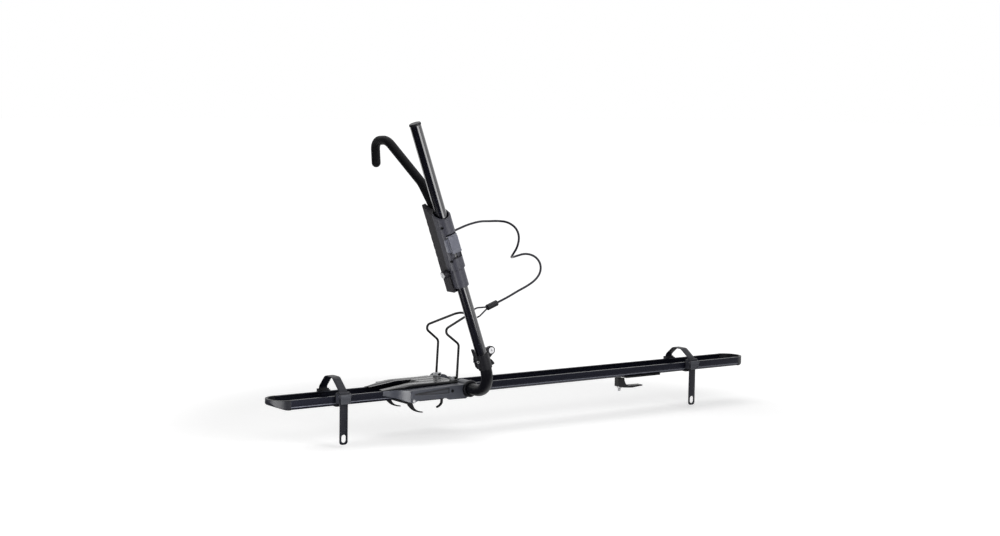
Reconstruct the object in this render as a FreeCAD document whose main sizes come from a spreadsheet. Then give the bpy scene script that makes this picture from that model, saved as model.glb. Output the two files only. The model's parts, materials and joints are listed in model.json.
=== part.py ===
import FreeCAD, Part

import math
import operator
import os

import Sketcher

# Roof bike carrier: a tray on two roof bars, with a fold-down arm that hooks over the front wheel.
# Frame: X runs along the tray towards the rear of the car, Y across it with the arm on the -Y
# side, Z up. The origin is the centre of the front saddle pad's underside, where it meets the
# front roof bar. Millimetres.

NODES = []
Vector = FreeCAD.Vector
doc = FreeCAD.newDocument("roof_bike_carrier")


class Size:
    """A number that also carries the sheet expression it comes from."""

    def __init__(self, value, text):
        self.value = value
        self.text = text

    def __add__(self, other):
        return joined(self, "+", other)

    def __radd__(self, other):
        return joined(other, "+", self)

    def __sub__(self, other):
        return joined(self, "-", other)

    def __rsub__(self, other):
        return joined(other, "-", self)

    def __mul__(self, other):
        return joined(self, "*", other)

    def __rmul__(self, other):
        return joined(other, "*", self)

    def __truediv__(self, other):
        return joined(self, "/", other)

    def __rtruediv__(self, other):
        return joined(other, "/", self)

    def __neg__(self):
        return joined(0, "-", self)


SIGNS = {"+": operator.add, "-": operator.sub, "*": operator.mul, "/": operator.truediv}


def as_size(item):
    if isinstance(item, Size):
        return item
    return Size(float(item), f"({float(item):.6f})")


def joined(left, sign, right):
    left, right = as_size(left), as_size(right)
    return Size(SIGNS[sign](left.value, right.value), f"({left.text} {sign} {right.text})")


def root(item):
    return Size(math.sqrt(item.value), f"sqrt({item.text})")


def sine(angle):
    return Size(math.sin(math.radians(angle.value)), f"sin({angle.text})")


def cosine(angle):
    return Size(math.cos(math.radians(angle.value)), f"cos({angle.text})")


def number(item):
    return as_size(item).value


def point(x, y, z):
    return Vector(number(x), number(y), number(z))


class Sizes:
    """The driving sizes, in millimetres and degrees. Each becomes a cell of the sheet."""

    # Tray
    tray_length = 1536
    tray_front = -403
    tray_width = 90
    tray_height = 25.5
    tray_base = 4.5
    tray_wall = 2.5
    tray_floor = 2.2
    lip_width = 7
    lip_height = 3
    slot_opening = 9
    slot_width = 19
    slot_height = 4.3
    slot_roof = 2
    rib_offset = 21
    rib_width = 2
    rib_height = 7.5
    side_bevel = 4.5
    side_groove = 0.8
    front_cap_length = 45
    rear_cap_length = 39
    cap_wall = 5
    cap_tongue = 12

    # Clearances
    running_gap = 0.05
    slide_gap = 0.3

    # Front housing
    cheek_gap = 0.3
    cheek_depth = 40.7
    cheek_wall = 3.2
    panel_depth = 4
    housing_front = -68
    flare_front = -130
    flare_lip = 2
    flare_low = 18.5
    housing_rear = 107
    arch_half = 38
    cheek_top_front = 31
    cheek_top_rear = 37
    cheek_sill = -1.5
    recess_depth = 3.6
    boss_radius = 21
    post_spacing = 50
    panel_screw_x = 62
    panel_screw_z = 22
    saddle_thickness = 2.5
    saddle_length = 76
    saddle_width = 168
    post_inset = 7
    pad_thickness = 2
    pad_length = 72
    pad_width = 92
    stud_spacing = 44

    # Front clamp
    jaw_pivot_x = -60
    jaw_pivot_z = 5
    jaw_pin_radius = 4
    jaw_inner = 52
    jaw_thickness = 6
    jaw_boss = 9
    lever_arm = 15
    nut_radius = 7
    nut_length = 16
    clamp_screw_radius = 3
    screw_offset = 67
    knob_radius = 13
    knob_length = 24
    tie_radius = 3.2

    # Cradle and wheel hoop
    cradle_front = -128
    cradle_rear = 99
    cradle_half = 60
    cradle_side = 39.6
    cradle_crown = 42.5
    well_half = 24
    well_radius = 340
    well_x = -158
    well_z = 342
    wire_radius = 3.25
    hoop_x = 102
    hoop_z = 47.2
    hoop_half = 50
    bracket_width = 10

    # Arm pivot and arm
    pivot_x = 120
    pivot_z = 23.7
    arm_lean = 19.7
    arm_offset = 195
    elbow_bend = 80
    elbow_radius = 15.75
    elbow_bore = 12.5
    elbow_top = 92
    shaft_radius = 10
    bush_radius = 13
    flange_radius = 23
    flange_depth = 7
    tube_radius = 15
    tube_wall = 2
    tube_top = 752
    end_cap_height = 6
    collar_bottom = 76
    collar_top = 118
    collar_radius = 18.5
    lock_radius = 8.4
    lock_bezel = 11.3
    lock_reach = 11.2
    lock_drop = 3

    # Hook slider
    slider_radius = 23.5
    slider_half = 22
    slider_inner = 148
    slider_split = 186
    slider_bottom = 300
    sleeve_bottom = 311
    sleeve_top = 362
    sleeve_radius = 19.5
    slider_low_top = 498
    slider_high_top = 541
    lever_top = 458
    lever_bottom = 408
    lever_half = 14
    slider_lock_radius = 8
    slider_screw_forward = -17.5
    slider_screw_high = 480
    slider_screw_low = 388
    grip_radius = 12
    grip_depth = 2.4
    grip_pitch = 21
    grip_start = 394

    # Hook
    stem_offset = 165
    stem_forward = 4
    hook_core = 8
    hook_radius = 12
    stem_bottom = 430

    # Security cable
    cable_radius = 3
    ferrule_radius = 8
    ferrule_length = 34
    ferrule_start = 77
    ferrule_height = 213
    plug_height = 446
    eye_post = 9.7
    eye_post_forward = 20
    eye_wire = 2.2

    # Wheel straps
    strap_width = 25
    strap_thickness = 3
    front_strap_x = -255
    rear_strap_x = 939
    front_strap_top = 76
    rear_strap_top = 68
    strap_tail = -97
    strap_side = 57
    carrier_length = 34
    carrier_wall = 2.4
    buckle_pin_z = 31

    # Rear clamp
    rear_bolt_x = 701
    rear_bar_x = 762
    rear_pad_length = 130
    rear_bolt_radius = 4
    rear_jaw_half = 11


class Sheet:
    """Puts the driving sizes into a spreadsheet and hands each out under its own name."""

    def __init__(self, sizes):
        self.values = {name: size for name, size in vars(sizes).items() if name[0] != "_"}
        sheet = doc.addObject("Spreadsheet::Sheet", "Sizes")
        for row, (name, value) in enumerate(self.values.items(), start=1):
            sheet.set(f"A{row}", name)
            sheet.set(f"B{row}", str(value))
            sheet.setAlias(f"B{row}", name)
        doc.recompute()

    def __getattr__(self, name):
        return Size(float(self.values[name]), f"Sizes.{name}")


S = Sheet(Sizes)

HALF_TRAY = S.tray_width / 2
TRAY_TOP = S.tray_base + S.tray_height
TRAY_REAR = S.tray_front + S.tray_length
FLOOR_TOP = S.tray_base + S.tray_floor
CHEEK_INNER = HALF_TRAY + S.cheek_gap
CHEEK_OUTER = CHEEK_INNER + S.cheek_depth
PANEL_OUTER = CHEEK_OUTER + S.panel_depth
SCREW_Z = S.jaw_pivot_z + S.lever_arm
POST_OFFSET = S.saddle_width / 2 - S.post_inset
NEAR, FAR = -1, 1
GRIP_COUNT = 6


def bind(thing, name, size):
    """Ties a property to the sheet."""
    thing.setExpression(name, as_size(size).text)


def arc_centre(start, end, radius):
    """Centre of the lesser arc; a positive radius turns anticlockwise from start to end."""
    (x0, y0), (x1, y1) = start, end
    span = math.hypot(x1 - x0, y1 - y0)
    rise = math.sqrt(max(radius * radius - span * span / 4, 0)) * math.copysign(1, radius)
    return ((x0 + x1) / 2 - (y1 - y0) / span * rise, (y0 + y1) / 2 + (x1 - x0) / span * rise)


def draw_disc(sketch, x, y, radius):
    centre = Vector(number(x), number(y), 0)
    ring = sketch.addGeometry(Part.Circle(centre, Vector(0, 0, 1), number(radius)), False)
    hold(sketch, "DistanceX", (-1, 1, ring, 3), x)
    hold(sketch, "DistanceY", (-1, 1, ring, 3), y)
    hold(sketch, "Radius", (ring,), radius)


def hold(sketch, kind, parts, size):
    """Adds one dimension to a sketch and ties it to the sheet."""
    index = sketch.addConstraint(Sketcher.Constraint(kind, *parts, number(size)))
    bind(sketch, f"Constraints[{index}]", size)


def draw_outline(sketch, outline):
    """Closed outline of (x, y) points; a third value is the radius of the arc that leads there."""
    flat = [(number(p[0]), number(p[1])) for p in outline]
    edges = []
    for i, start in enumerate(flat):
        following = (i + 1) % len(flat)
        end = flat[following]
        bend = outline[following][2] if len(outline[following]) > 2 else None
        if bend is None:
            edge = sketch.addGeometry(Part.LineSegment(Vector(*start, 0), Vector(*end, 0)), False)
            edges.append((edge, 1, 2))
            continue
        radius = number(bend)
        cx, cy = arc_centre(start, end, radius)
        angles = [math.atan2(y - cy, x - cx) for x, y in (start, end)]
        if radius < 0:
            angles.reverse()
        circle = Part.Circle(Vector(cx, cy, 0), Vector(0, 0, 1), abs(radius))
        edge = sketch.addGeometry(Part.ArcOfCircle(circle, *angles), False)
        hold(sketch, "Radius", (edge,), bend if radius > 0 else -bend)
        edges.append((edge, 1, 2) if radius > 0 else (edge, 2, 1))
    for i, (edge, first, _) in enumerate(edges):
        before, _, last = edges[i - 1]
        sketch.addConstraint(Sketcher.Constraint("Coincident", before, last, edge, first))
        hold(sketch, "DistanceX", (-1, 1, edge, first), outline[i][0])
        hold(sketch, "DistanceY", (-1, 1, edge, first), outline[i][1])


def rectangle(x0, x1, y0, y1):
    return [(x0, y0), (x1, y0), (x1, y1), (x0, y1)]


def rounded(x0, x1, y0, y1, r):
    """Rectangle with its corners rounded by quarter arcs."""
    return [(x0 + r, y0, r), (x1 - r, y0), (x1, y0 + r, r), (x1, y1 - r), (x1 - r, y1, r),
            (x0 + r, y1), (x0, y1 - r, r), (x0, y0 + r)]


def disc(x, y, radius):
    return ("disc", as_size(x), as_size(y), as_size(radius))


class Piece:
    """A body built up from sketches on its own origin planes."""

    def __init__(self, label, node=True):
        self.body = doc.addObject("PartDesign::Body", label)
        self.body.Label = label
        self.planes = {feature.Role: feature for feature in self.body.Origin.OriginFeatures}
        if node:
            NODES.append(self.body)

    def sketch(self, plane, at, loops):
        sketch = self.body.newObject("Sketcher::SketchObject", "Sketch")
        sketch.AttachmentSupport = [(self.planes[plane + "_Plane"], "")]
        sketch.MapMode = "FlatFace"
        shift = -at if plane == "XZ" else at
        sketch.AttachmentOffset = FreeCAD.Placement(Vector(0, 0, number(shift)), FreeCAD.Rotation())
        bind(sketch, "AttachmentOffset.Base.z", shift)
        for loop in loops:
            if loop[0] == "disc":
                draw_disc(sketch, *loop[1:])
            else:
                draw_outline(sketch, loop)
        return sketch

    def extrude(self, kind, plane, start, end, loops):
        sketch = self.sketch(plane, start, loops)
        feature = self.body.newObject("PartDesign::" + kind, kind)
        feature.Profile = sketch
        feature.Length = number(end - start)
        bind(feature, "Length", end - start)
        feature.Reversed = (kind == "Pad") == (plane == "XZ")
        self.body.Tip = feature
        return self

    def add(self, plane, start, end, *loops):
        return self.extrude("Pad", plane, as_size(start), as_size(end), loops)

    def cut(self, plane, start, end, *loops):
        return self.extrude("Pocket", plane, as_size(start), as_size(end), loops)

    def turn(self, *loops, kind="Revolution"):
        """Revolves outlines of (radius, height) about the body's own Z."""
        sketch = self.sketch("XZ", as_size(0), loops)
        feature = self.body.newObject("PartDesign::" + kind, kind)
        feature.Profile = sketch
        feature.ReferenceAxis = (sketch, ["V_Axis"])
        feature.Angle = 360
        self.body.Tip = feature
        return self

    def soften(self, kind, size, wanted):
        """Fillets or chamfers the edges that a test picks out by their middle point."""
        doc.recompute()
        tip = self.body.Tip
        names = []
        for number_of_edge, edge in enumerate(tip.Shape.Edges, start=1):
            if wanted(edge, edge.CenterOfMass):
                names.append(f"Edge{number_of_edge}")
        feature = self.body.newObject("PartDesign::" + kind, kind)
        feature.Base = (tip, names)
        name = "Radius" if kind == "Fillet" else "Size"
        setattr(feature, name, number(size))
        bind(feature, name, size)
        self.body.Tip = feature
        return self

    def place(self, x, y, z, axis=None, angle=0):
        put(self.body, x, y, z, axis, angle)
        return self


def put(thing, x, y, z, axis=None, angle=0):
    turn = FreeCAD.Rotation(axis, number(angle)) if axis else FreeCAD.Rotation()
    thing.Placement = FreeCAD.Placement(point(x, y, z), turn)
    bind(thing, "Placement.Base.x", x)
    bind(thing, "Placement.Base.y", y)
    bind(thing, "Placement.Base.z", z)


AXIS_X, AXIS_Y = Vector(1, 0, 0), Vector(0, 1, 0)
LEAN = FreeCAD.Placement(point(S.pivot_x, 0, S.pivot_z),
                         FreeCAD.Rotation(Vector(0, -1, 0), number(S.arm_lean)))


def along_arm(thing):
    """Stands a piece, made with Z along the arm from the pivot axis, at the arm's rest lean."""
    thing = thing.body if isinstance(thing, Piece) else thing
    thing.Placement = LEAN
    bind(thing, "Placement.Base.x", S.pivot_x)
    bind(thing, "Placement.Base.z", S.pivot_z)
    bind(thing, "Placement.Rotation.Angle", S.arm_lean)
    return thing


def combine(kind, label, base, tools, node=True):
    """A boolean of finished pieces: Cut, Common or Fuse."""
    result = base.body if isinstance(base, Piece) else base
    for index, tool in enumerate(tools):
        step = doc.addObject("Part::" + kind, label if index == len(tools) - 1 else label + "_step")
        step.Base = result
        step.Tool = tool.body if isinstance(tool, Piece) else tool
        result = step
    result.Label = label
    if node:
        NODES.append(result)
    return result


def feature(label, shape, node=True):
    """A piece whose shape comes from a route in space, which sketches can't hold."""
    thing = doc.addObject("Part::Feature", label)
    thing.Label = label
    thing.Shape = shape
    if node:
        NODES.append(thing)
    return thing


def bent_route(points, bends):
    """Straight runs joined by tangent arcs, with one bend radius for each inner point."""
    edges = []
    start = points[0]
    for before, corner, after, bend in zip(points, points[1:], points[2:], bends):
        back = (before - corner).normalize()
        ahead = (after - corner).normalize()
        half_turn = (math.pi - back.getAngle(ahead)) / 2
        reach = bend * math.tan(half_turn)
        first, last = corner + back * reach, corner + ahead * reach
        towards = (back + ahead).normalize()
        middle = corner + towards * (bend / math.cos(half_turn) - bend)
        if (first - start).Length > 1e-6:
            edges.append(Part.LineSegment(start, first).toShape())
        edges.append(Part.Arc(first, middle, last).toShape())
        start = last
    if (points[-1] - start).Length > 1e-6:
        edges.append(Part.LineSegment(start, points[-1]).toShape())
    return Part.Wire(edges)


def tube_along(route, points, radius):
    ring = Part.Circle(points[0], points[1] - points[0], radius).toShape()
    return route.makePipeShell([Part.Wire([ring])], True, False)


def bent_tube(points, bends, radius, bore=0):
    route = bent_route(points, bends)
    tube = tube_along(route, points, radius)
    if bore:
        tube = tube.cut(tube_along(route, points, bore))
    return tube


# Tray

def make_tray():
    base, top = S.tray_base, TRAY_TOP
    slot, cavity = S.slot_opening / 2, S.slot_width / 2
    cavity_top = FLOOR_TOP + S.slot_height
    roof = cavity_top + S.slot_roof
    shoulder = cavity + S.slot_roof
    rib_in, rib_out = S.rib_offset - S.rib_width / 2, S.rib_offset + S.rib_width / 2
    rib_top = FLOOR_TOP + S.rib_height
    groove_low, groove_high = base + 7.4, base + 9.8
    step = S.side_groove
    half = [
        (slot, base), (HALF_TRAY - S.side_bevel, base), (HALF_TRAY, base + S.side_bevel),
        (HALF_TRAY, groove_low), (HALF_TRAY - step, groove_low + step),
        (HALF_TRAY - step, groove_high), (HALF_TRAY, groove_high + step), (HALF_TRAY, top - 1),
        (HALF_TRAY - 1, top), (HALF_TRAY - S.lip_width + 1, top), (HALF_TRAY - S.lip_width, top - 1),
        (HALF_TRAY - S.lip_width, top - S.lip_height),
        (HALF_TRAY - S.tray_wall, top - S.lip_height), (HALF_TRAY - S.tray_wall, FLOOR_TOP + 3),
        (HALF_TRAY - S.tray_wall - 3, FLOOR_TOP), (rib_out, FLOOR_TOP), (rib_out, rib_top),
        (rib_in, rib_top), (rib_in, FLOOR_TOP), (shoulder, FLOOR_TOP), (shoulder, roof)]
    mirrored = [(-y, z) for y, z in reversed(half)]
    slot_outline = [(-slot, FLOOR_TOP), (-cavity, FLOOR_TOP), (-cavity, cavity_top),
                    (cavity, cavity_top), (cavity, FLOOR_TOP), (slot, FLOOR_TOP)]
    Piece("tray_extrusion").add("YZ", S.tray_front, TRAY_REAR, half + mirrored + slot_outline)


def make_end_cap(label, end, length, way):
    """Scoop-shaped plug: round in plan, swept up below, with tongues inside the tray."""
    tip = end + way * length
    round_plan = (HALF_TRAY * HALF_TRAY + length * length) / (2 * length)
    sweep_run, sweep_rise = length - 4, S.tray_height - 6
    sweep = (sweep_run * sweep_run + sweep_rise * sweep_rise) / (2 * sweep_rise)
    shell = Piece(label + "_outside", node=False)
    shell.add("XY", S.tray_base, TRAY_TOP, [
        (end, -HALF_TRAY), (tip, 0, way * round_plan), (end, HALF_TRAY, way * round_plan)])
    for side in (NEAR, FAR):
        near_edge = side * (S.rib_offset + S.rib_width / 2 + S.slide_gap)
        wall_edge = side * (HALF_TRAY - S.tray_wall - 3 - S.slide_gap)
        low, high = (near_edge, wall_edge) if side == FAR else (wall_edge, near_edge)
        left, right = (end - S.cap_tongue, end + 3) if way > 0 else (end - 3, end + S.cap_tongue)
        shell.add("XZ", low, high, rectangle(left, right, FLOOR_TOP + 0.1, FLOOR_TOP + 3.6))
    shell.cut("XZ", -HALF_TRAY - 1, HALF_TRAY + 1, [
        (end + way * 4, S.tray_base), (tip, TRAY_TOP - 6, way * sweep), (tip + way, TRAY_TOP - 6),
        (tip + way, S.tray_base - 1), (end + way * 4, S.tray_base - 1)])
    inner_half, inner_run = HALF_TRAY - S.cap_wall, length - S.cap_wall - 2
    inner_plan = (inner_half * inner_half + inner_run * inner_run) / (2 * inner_run)
    scoop = Piece(label + "_inside", node=False)
    scoop.add("XY", S.tray_base - 1, TRAY_TOP + 1, [
        (end - way, -inner_half), (end, -inner_half), (end + way * inner_run, 0, way * inner_plan),
        (end, inner_half, way * inner_plan), (end - way, inner_half)])
    inner_rise = S.tray_height - 9
    inner_sweep = (sweep_run * sweep_run + inner_rise * inner_rise) / (2 * inner_rise)
    scoop.cut("XZ", -HALF_TRAY, HALF_TRAY, [
        (end - way * 2, S.tray_base - 2), (end - way * 2, S.tray_base + 6),
        (end, S.tray_base + 6), (end + way * sweep_run, TRAY_TOP - 3, way * inner_sweep),
        (tip + way, TRAY_TOP - 3), (tip + way, S.tray_base - 2)])
    combine("Cut", label, shell, [scoop])


# Front housing

def cheek_top(x):
    """Height of the housing's sloping top edge at x."""
    run = S.housing_rear - S.flare_front
    return S.cheek_top_front + (x - S.flare_front) * (S.cheek_top_rear - S.cheek_top_front) / run


def across(side, inner, outer):
    """A stretch of Y from inner to outer on one side of the tray, lowest first."""
    return (inner, outer) if side == FAR else (-outer, -inner)


def make_cheek(label, side):
    """One moulded side of the front housing, open below, flared out from the tray in front."""
    front, flare, rear, sill = S.housing_front, S.flare_front, S.housing_rear, S.cheek_sill
    boss, px, pz = S.boss_radius, S.pivot_x, S.pivot_z
    boss_run = root(boss * boss - (cheek_top(px - boss) - pz) * (cheek_top(px - boss) - pz))
    boss_join = px - boss_run
    arch, arch_z = S.arch_half, S.tray_base
    profile = Piece(label + "_profile", node=False)
    profile.add("XZ", *across(side, CHEEK_INNER, CHEEK_OUTER), [
        (flare, S.flare_low), (front + 2, sill + 1, -250), (front + 8, sill + 0.5),
        (-arch, arch_z, -34), (arch, arch_z),
        (arch + 14, sill + 1, -24), (rear, sill), (px, pz - boss), (px + boss, pz, boss),
        (px, pz + boss, boss), (boss_join, cheek_top(px - boss), boss), (flare, cheek_top(flare))])
    bulge = S.cheek_depth - S.flare_lip
    run = front - flare
    flare_round = (run * run + bulge * bulge) / (2 * bulge)
    plan = Piece(label + "_plan", node=False)
    plan.add("XY", -10, 60, [
        (flare, side * CHEEK_INNER), (flare, side * (CHEEK_INNER + S.flare_lip)),
        (front, side * CHEEK_OUTER, side * flare_round),
        (px + boss + 1, side * CHEEK_OUTER), (px + boss + 1, side * CHEEK_INNER)])
    block = combine("Common", label + "_block", profile, [plan], node=False)
    hollow = make_cheek_hollow(label, side)
    shell = combine("Cut", label + "_shell", block, [hollow], node=False)
    panel = make_panel(label, side)
    posts = Piece(label + "_posts", node=False)
    for way in (NEAR, FAR):
        posts.add("XY", arch_z, 31, disc(way * S.post_spacing / 2, side * POST_OFFSET, 5.5))
    bosses = Piece(label + "_screw_boss", node=False)
    bosses.add("XZ", *across(side, PANEL_OUTER - 18, CHEEK_OUTER), disc(S.panel_screw_x, S.panel_screw_z, 5))
    whole = combine("Fuse", label + "_whole", shell, [panel, posts, bosses], node=False)
    drill = make_cheek_holes(label, side)
    combine("Cut", label, whole, drill)


def make_cheek_hollow(label, side):
    wall = S.cheek_wall
    inner, outer = CHEEK_INNER + wall, CHEEK_OUTER - wall
    hollow = Piece(label + "_hollow", node=False)
    front, rear = S.jaw_pivot_x + 4, S.pivot_x - S.boss_radius - 7
    hollow.add("XZ", *across(side, inner, outer), [
        (front, -12), (rear, -12), (rear, cheek_top(rear) - wall - 3),
        (front, cheek_top(front) - wall)])
    jaw = across(side, S.jaw_inner - 1.5, S.jaw_inner + S.jaw_thickness + 1.5)
    slot_front = S.jaw_pivot_x - S.jaw_boss - 1.5
    hollow.add("XZ", *jaw, rectangle(slot_front, front + 2, -12, SCREW_Z - 3))
    if side == FAR:
        reach = across(side, S.jaw_inner - 1.5, S.screw_offset + S.nut_length / 2 + 1)
        hollow.add("XZ", *reach, rectangle(slot_front + 1.5, front + 2, 10.5, 28.5))
    return hollow


def make_panel(label, side):
    """Raised outer face with a long tapered recess and a round bite about the pivot."""
    front, rear, sill = S.housing_front, S.housing_rear, S.cheek_sill
    bite = S.flange_radius + 2.5
    px, pz = S.pivot_x, S.pivot_z
    top_run = root(bite * bite - (cheek_top(rear) - pz) * (cheek_top(rear) - pz))
    low_run = root(bite * bite - (sill + 3 - pz) * (sill + 3 - pz))
    panel = Piece(label + "_panel", node=False)
    panel.add("XZ", *across(side, CHEEK_OUTER - 1, PANEL_OUTER), [
        (front, sill + 2.3), (front + 8, sill + 0.5), (-S.arch_half, S.tray_base, -34),
        (S.arch_half, S.tray_base), (S.arch_half + 14, sill + 1, -24), (rear, sill),
        (px - low_run, sill + 3), (px - bite, pz, -bite),
        (px - top_run, cheek_top(rear), -bite), (front, cheek_top(front))])
    depth = across(side, PANEL_OUTER - S.recess_depth, PANEL_OUTER + 1)
    panel.cut("XZ", *depth, [
        (front + 11, 19.6), (49, 16.9), (53, 20.9, 4), (53, 27.7), (49, 31.7, 4),
        (front + 11, 24.2)])
    return panel


def make_cheek_holes(label, side):
    px, pz = S.pivot_x, S.pivot_z
    holes = Piece(label + "_holes", node=False)
    holes.add("XZ", *across(side, CHEEK_INNER - 1, PANEL_OUTER + 1),
              disc(S.jaw_pivot_x, S.jaw_pivot_z, S.jaw_pin_radius + S.running_gap))
    screw = Piece(label + "_screw_hole", node=False)
    x, z = S.panel_screw_x, S.panel_screw_z
    screw.add("XZ", *across(side, PANEL_OUTER - 17, PANEL_OUTER + 1), disc(x, z, 2.55))
    screw.add("XZ", *across(side, PANEL_OUTER - 4, PANEL_OUTER + 1), disc(x, z, 4.6))
    tools = [holes, screw]
    for way in (NEAR, FAR):
        post_hole = Piece(label + "_post_hole", node=False)
        post_hole.add("XY", 0, 24, disc(way * S.post_spacing / 2, side * POST_OFFSET, 2.05))
        tools.append(post_hole)
    if side == NEAR:
        bore = Piece(label + "_bore", node=False)
        bore.add("XZ", *across(side, CHEEK_INNER - 1, CHEEK_OUTER + 1),
                 disc(px, pz, S.bush_radius))
        bore.add("XZ", *across(side, CHEEK_INNER - 1, CHEEK_INNER + 4.7), disc(px, pz, 16))
        tools.append(bore)
    else:
        bore = Piece(label + "_screw_bore", node=False)
        bore.add("YZ", px - S.boss_radius - 12, px + S.boss_radius + 2,
                 disc(S.screw_offset, SCREW_Z, S.clamp_screw_radius + 0.1))
        tools.append(bore)
    return tools


def make_saddle():
    half_x, half_y = S.saddle_length / 2, S.saddle_width / 2
    top, low = S.tray_base, S.tray_base - S.saddle_thickness
    saddle = Piece("saddle_bracket")
    studs = [disc(way * S.stud_spacing / 2, 0, 4.05) for way in (NEAR, FAR)]
    places = [(way * S.post_spacing / 2, side * POST_OFFSET)
              for way in (NEAR, FAR) for side in (NEAR, FAR)]
    screws = [disc(x, y, 2.6) for x, y in places]
    saddle.add("XY", low, top, rectangle(-half_x, half_x, -half_y, half_y), *studs, *screws)
    for side in (NEAR, FAR):
        claw = across(side, S.jaw_inner, S.jaw_inner + S.jaw_thickness)
        saddle.add("XZ", *claw, [
            (half_x - 6, low), (half_x + 8, low), (half_x + 9.5, -13, -26), (34, -22, -20),
            (34.5, -26), (half_x + 13.5, -15, 26), (half_x + 13, top, 34), (half_x - 6, top)])
    for x, y in places:
        saddle.cut("XY", low, low + 1.4, disc(x, y, 4.6))


def make_saddle_parts():
    half_x, half_y = S.pad_length / 2, S.pad_width / 2
    Piece("saddle_pad").add("XY", 0, S.pad_thickness, rectangle(-half_x, half_x, -half_y, half_y))
    low = S.tray_base - S.saddle_thickness
    studs = []
    for way in (NEAR, FAR):
        centre = number(way * S.stud_spacing / 2)
        head = Part.makeBox(8, number(S.slot_width) - 1, number(S.slot_height) - 0.5,
                            point(centre - 4, 0.5 - S.slot_width / 2, FLOOR_TOP))
        shank = Part.makeCylinder(4, number(FLOOR_TOP - low), point(centre, 0, low))
        studs.append(head.fuse(shank))
    feature("tray_studs", Part.makeCompound(studs))
    screws = []
    for way in (NEAR, FAR):
        for side in (NEAR, FAR):
            x, y = way * S.post_spacing / 2, side * POST_OFFSET
            head = Part.makeCylinder(4.4, 1.3, point(x, y, low))
            socket = Part.makeCylinder(1.6, 1.3, point(x, y, low))
            shank = Part.makeCylinder(2, 18, point(x, y, low + 1.2))
            screws.append(head.fuse(shank).cut(socket))
    feature("saddle_screws", Part.makeCompound(screws))
    screws = []
    x, z = S.panel_screw_x, S.panel_screw_z
    for side in (NEAR, FAR):
        way = Vector(0, -side, 0)
        face = number(PANEL_OUTER) - 0.6
        head = Part.makeCylinder(4.4, 3.2, point(x, side * face, z), way)
        socket = Part.makeCylinder(2, 2.2, point(x, side * face, z), way)
        shank = Part.makeCylinder(2.5, 12.5, point(x, side * (face - 3), z), way)
        screws.append(head.fuse(shank).cut(socket))
    feature("housing_screws", Part.makeCompound(screws))
    pins = []
    length = number(PANEL_OUTER - CHEEK_INNER) + 0.2
    for side in (NEAR, FAR):
        start = point(S.jaw_pivot_x, side * (CHEEK_INNER + 0.2), S.jaw_pivot_z)
        pins.append(Part.makeCylinder(number(S.jaw_pin_radius), length, start, Vector(0, side, 0)))
    feature("jaw_pins", Part.makeCompound(pins))


def make_cradle():
    """Glossy wheel chock on top of the housing, hollowed by the tyre's own circle."""
    front, rear, half = S.cradle_front, S.cradle_rear, S.cradle_half
    side = Piece("cradle_side", node=False)
    side.add("XZ", -half, half, [
        (front, cheek_top(front)), (rear, cheek_top(rear)), (rear, S.cradle_crown - 3),
        (rear - 3, S.cradle_crown, 3), (-32, S.cradle_crown), (-62, 39.8, 150),
        (front, cheek_top(front) + 0.8)])
    section = Piece("cradle_section", node=False)
    crown = half - 4
    section.add("YZ", front - 1, rear + 1, [
        (-half, 20), (half, 20), (half, S.cradle_side), (crown, S.cradle_crown),
        (-crown, S.cradle_crown), (-half, S.cradle_side)])
    section.cut("XY", 19, 60, [(front - 2, -half - 1), (front + 62, -half - 1), (front - 2, -42)])
    section.cut("XY", 19, 60, [(front - 2, half + 1), (front - 2, 42), (front + 62, half + 1)])
    blank = combine("Common", "cradle_blank", side, [section], node=False)
    wheel = Piece("cradle_well", node=False)
    wheel.add("XZ", -S.well_half, S.well_half, disc(S.well_x, S.well_z, S.well_radius))
    combine("Cut", "cradle_top", blank, [wheel])


def make_hoop():
    """Wire hoop that steadies the wheel from behind; its feet turn in two small brackets."""
    x, z, half, wire = S.hoop_x, S.hoop_z, S.hoop_half, S.wire_radius
    brackets = []
    for side in (NEAR, FAR):
        low, high = across(side, half - S.bracket_width - 5, half - 5)
        height = z + 5 - S.cradle_crown
        block = Part.makeBox(20, number(high - low), number(height),
                             point(x - 14, low, S.cradle_crown))
        bore = Part.makeCylinder(number(wire + S.running_gap), 20, point(x, low - 3, z), AXIS_Y)
        brackets.append(block.cut(bore))
    feature("hoop_brackets", Part.makeCompound(brackets))
    inner = half - S.bracket_width - 7
    left = [point(x, -inner, z), point(x, -half, z), point(x + 5, -half, z + 93),
            point(x - 38, -47, z + 127), point(x - 30, -46, z + 139), point(x + 55, -25, z + 169)]
    right = [Vector(p.x, -p.y, p.z) for p in reversed(left)]
    bends = [4.5, 14, 12, 12, 22, 22, 12, 12, 14, 4.5]
    feature("wheel_hoop", bent_tube(left + right, bends, number(wire)))


# Front clamp

def jaw_outline(px, pz, boss):
    return [(px - boss, pz), (px, pz + boss, -boss), (px + boss, pz, -boss),
            (px + 18, pz - 16), (px + 28.5, pz - 30.5, 26), (px + 49, pz - 37, 60),
            (px + 49, pz - 39.5), (px + 23, pz - 33.5, -70), (px + 1, pz - 13, -60),
            (px - boss + 0.6, pz - 4)]


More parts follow.
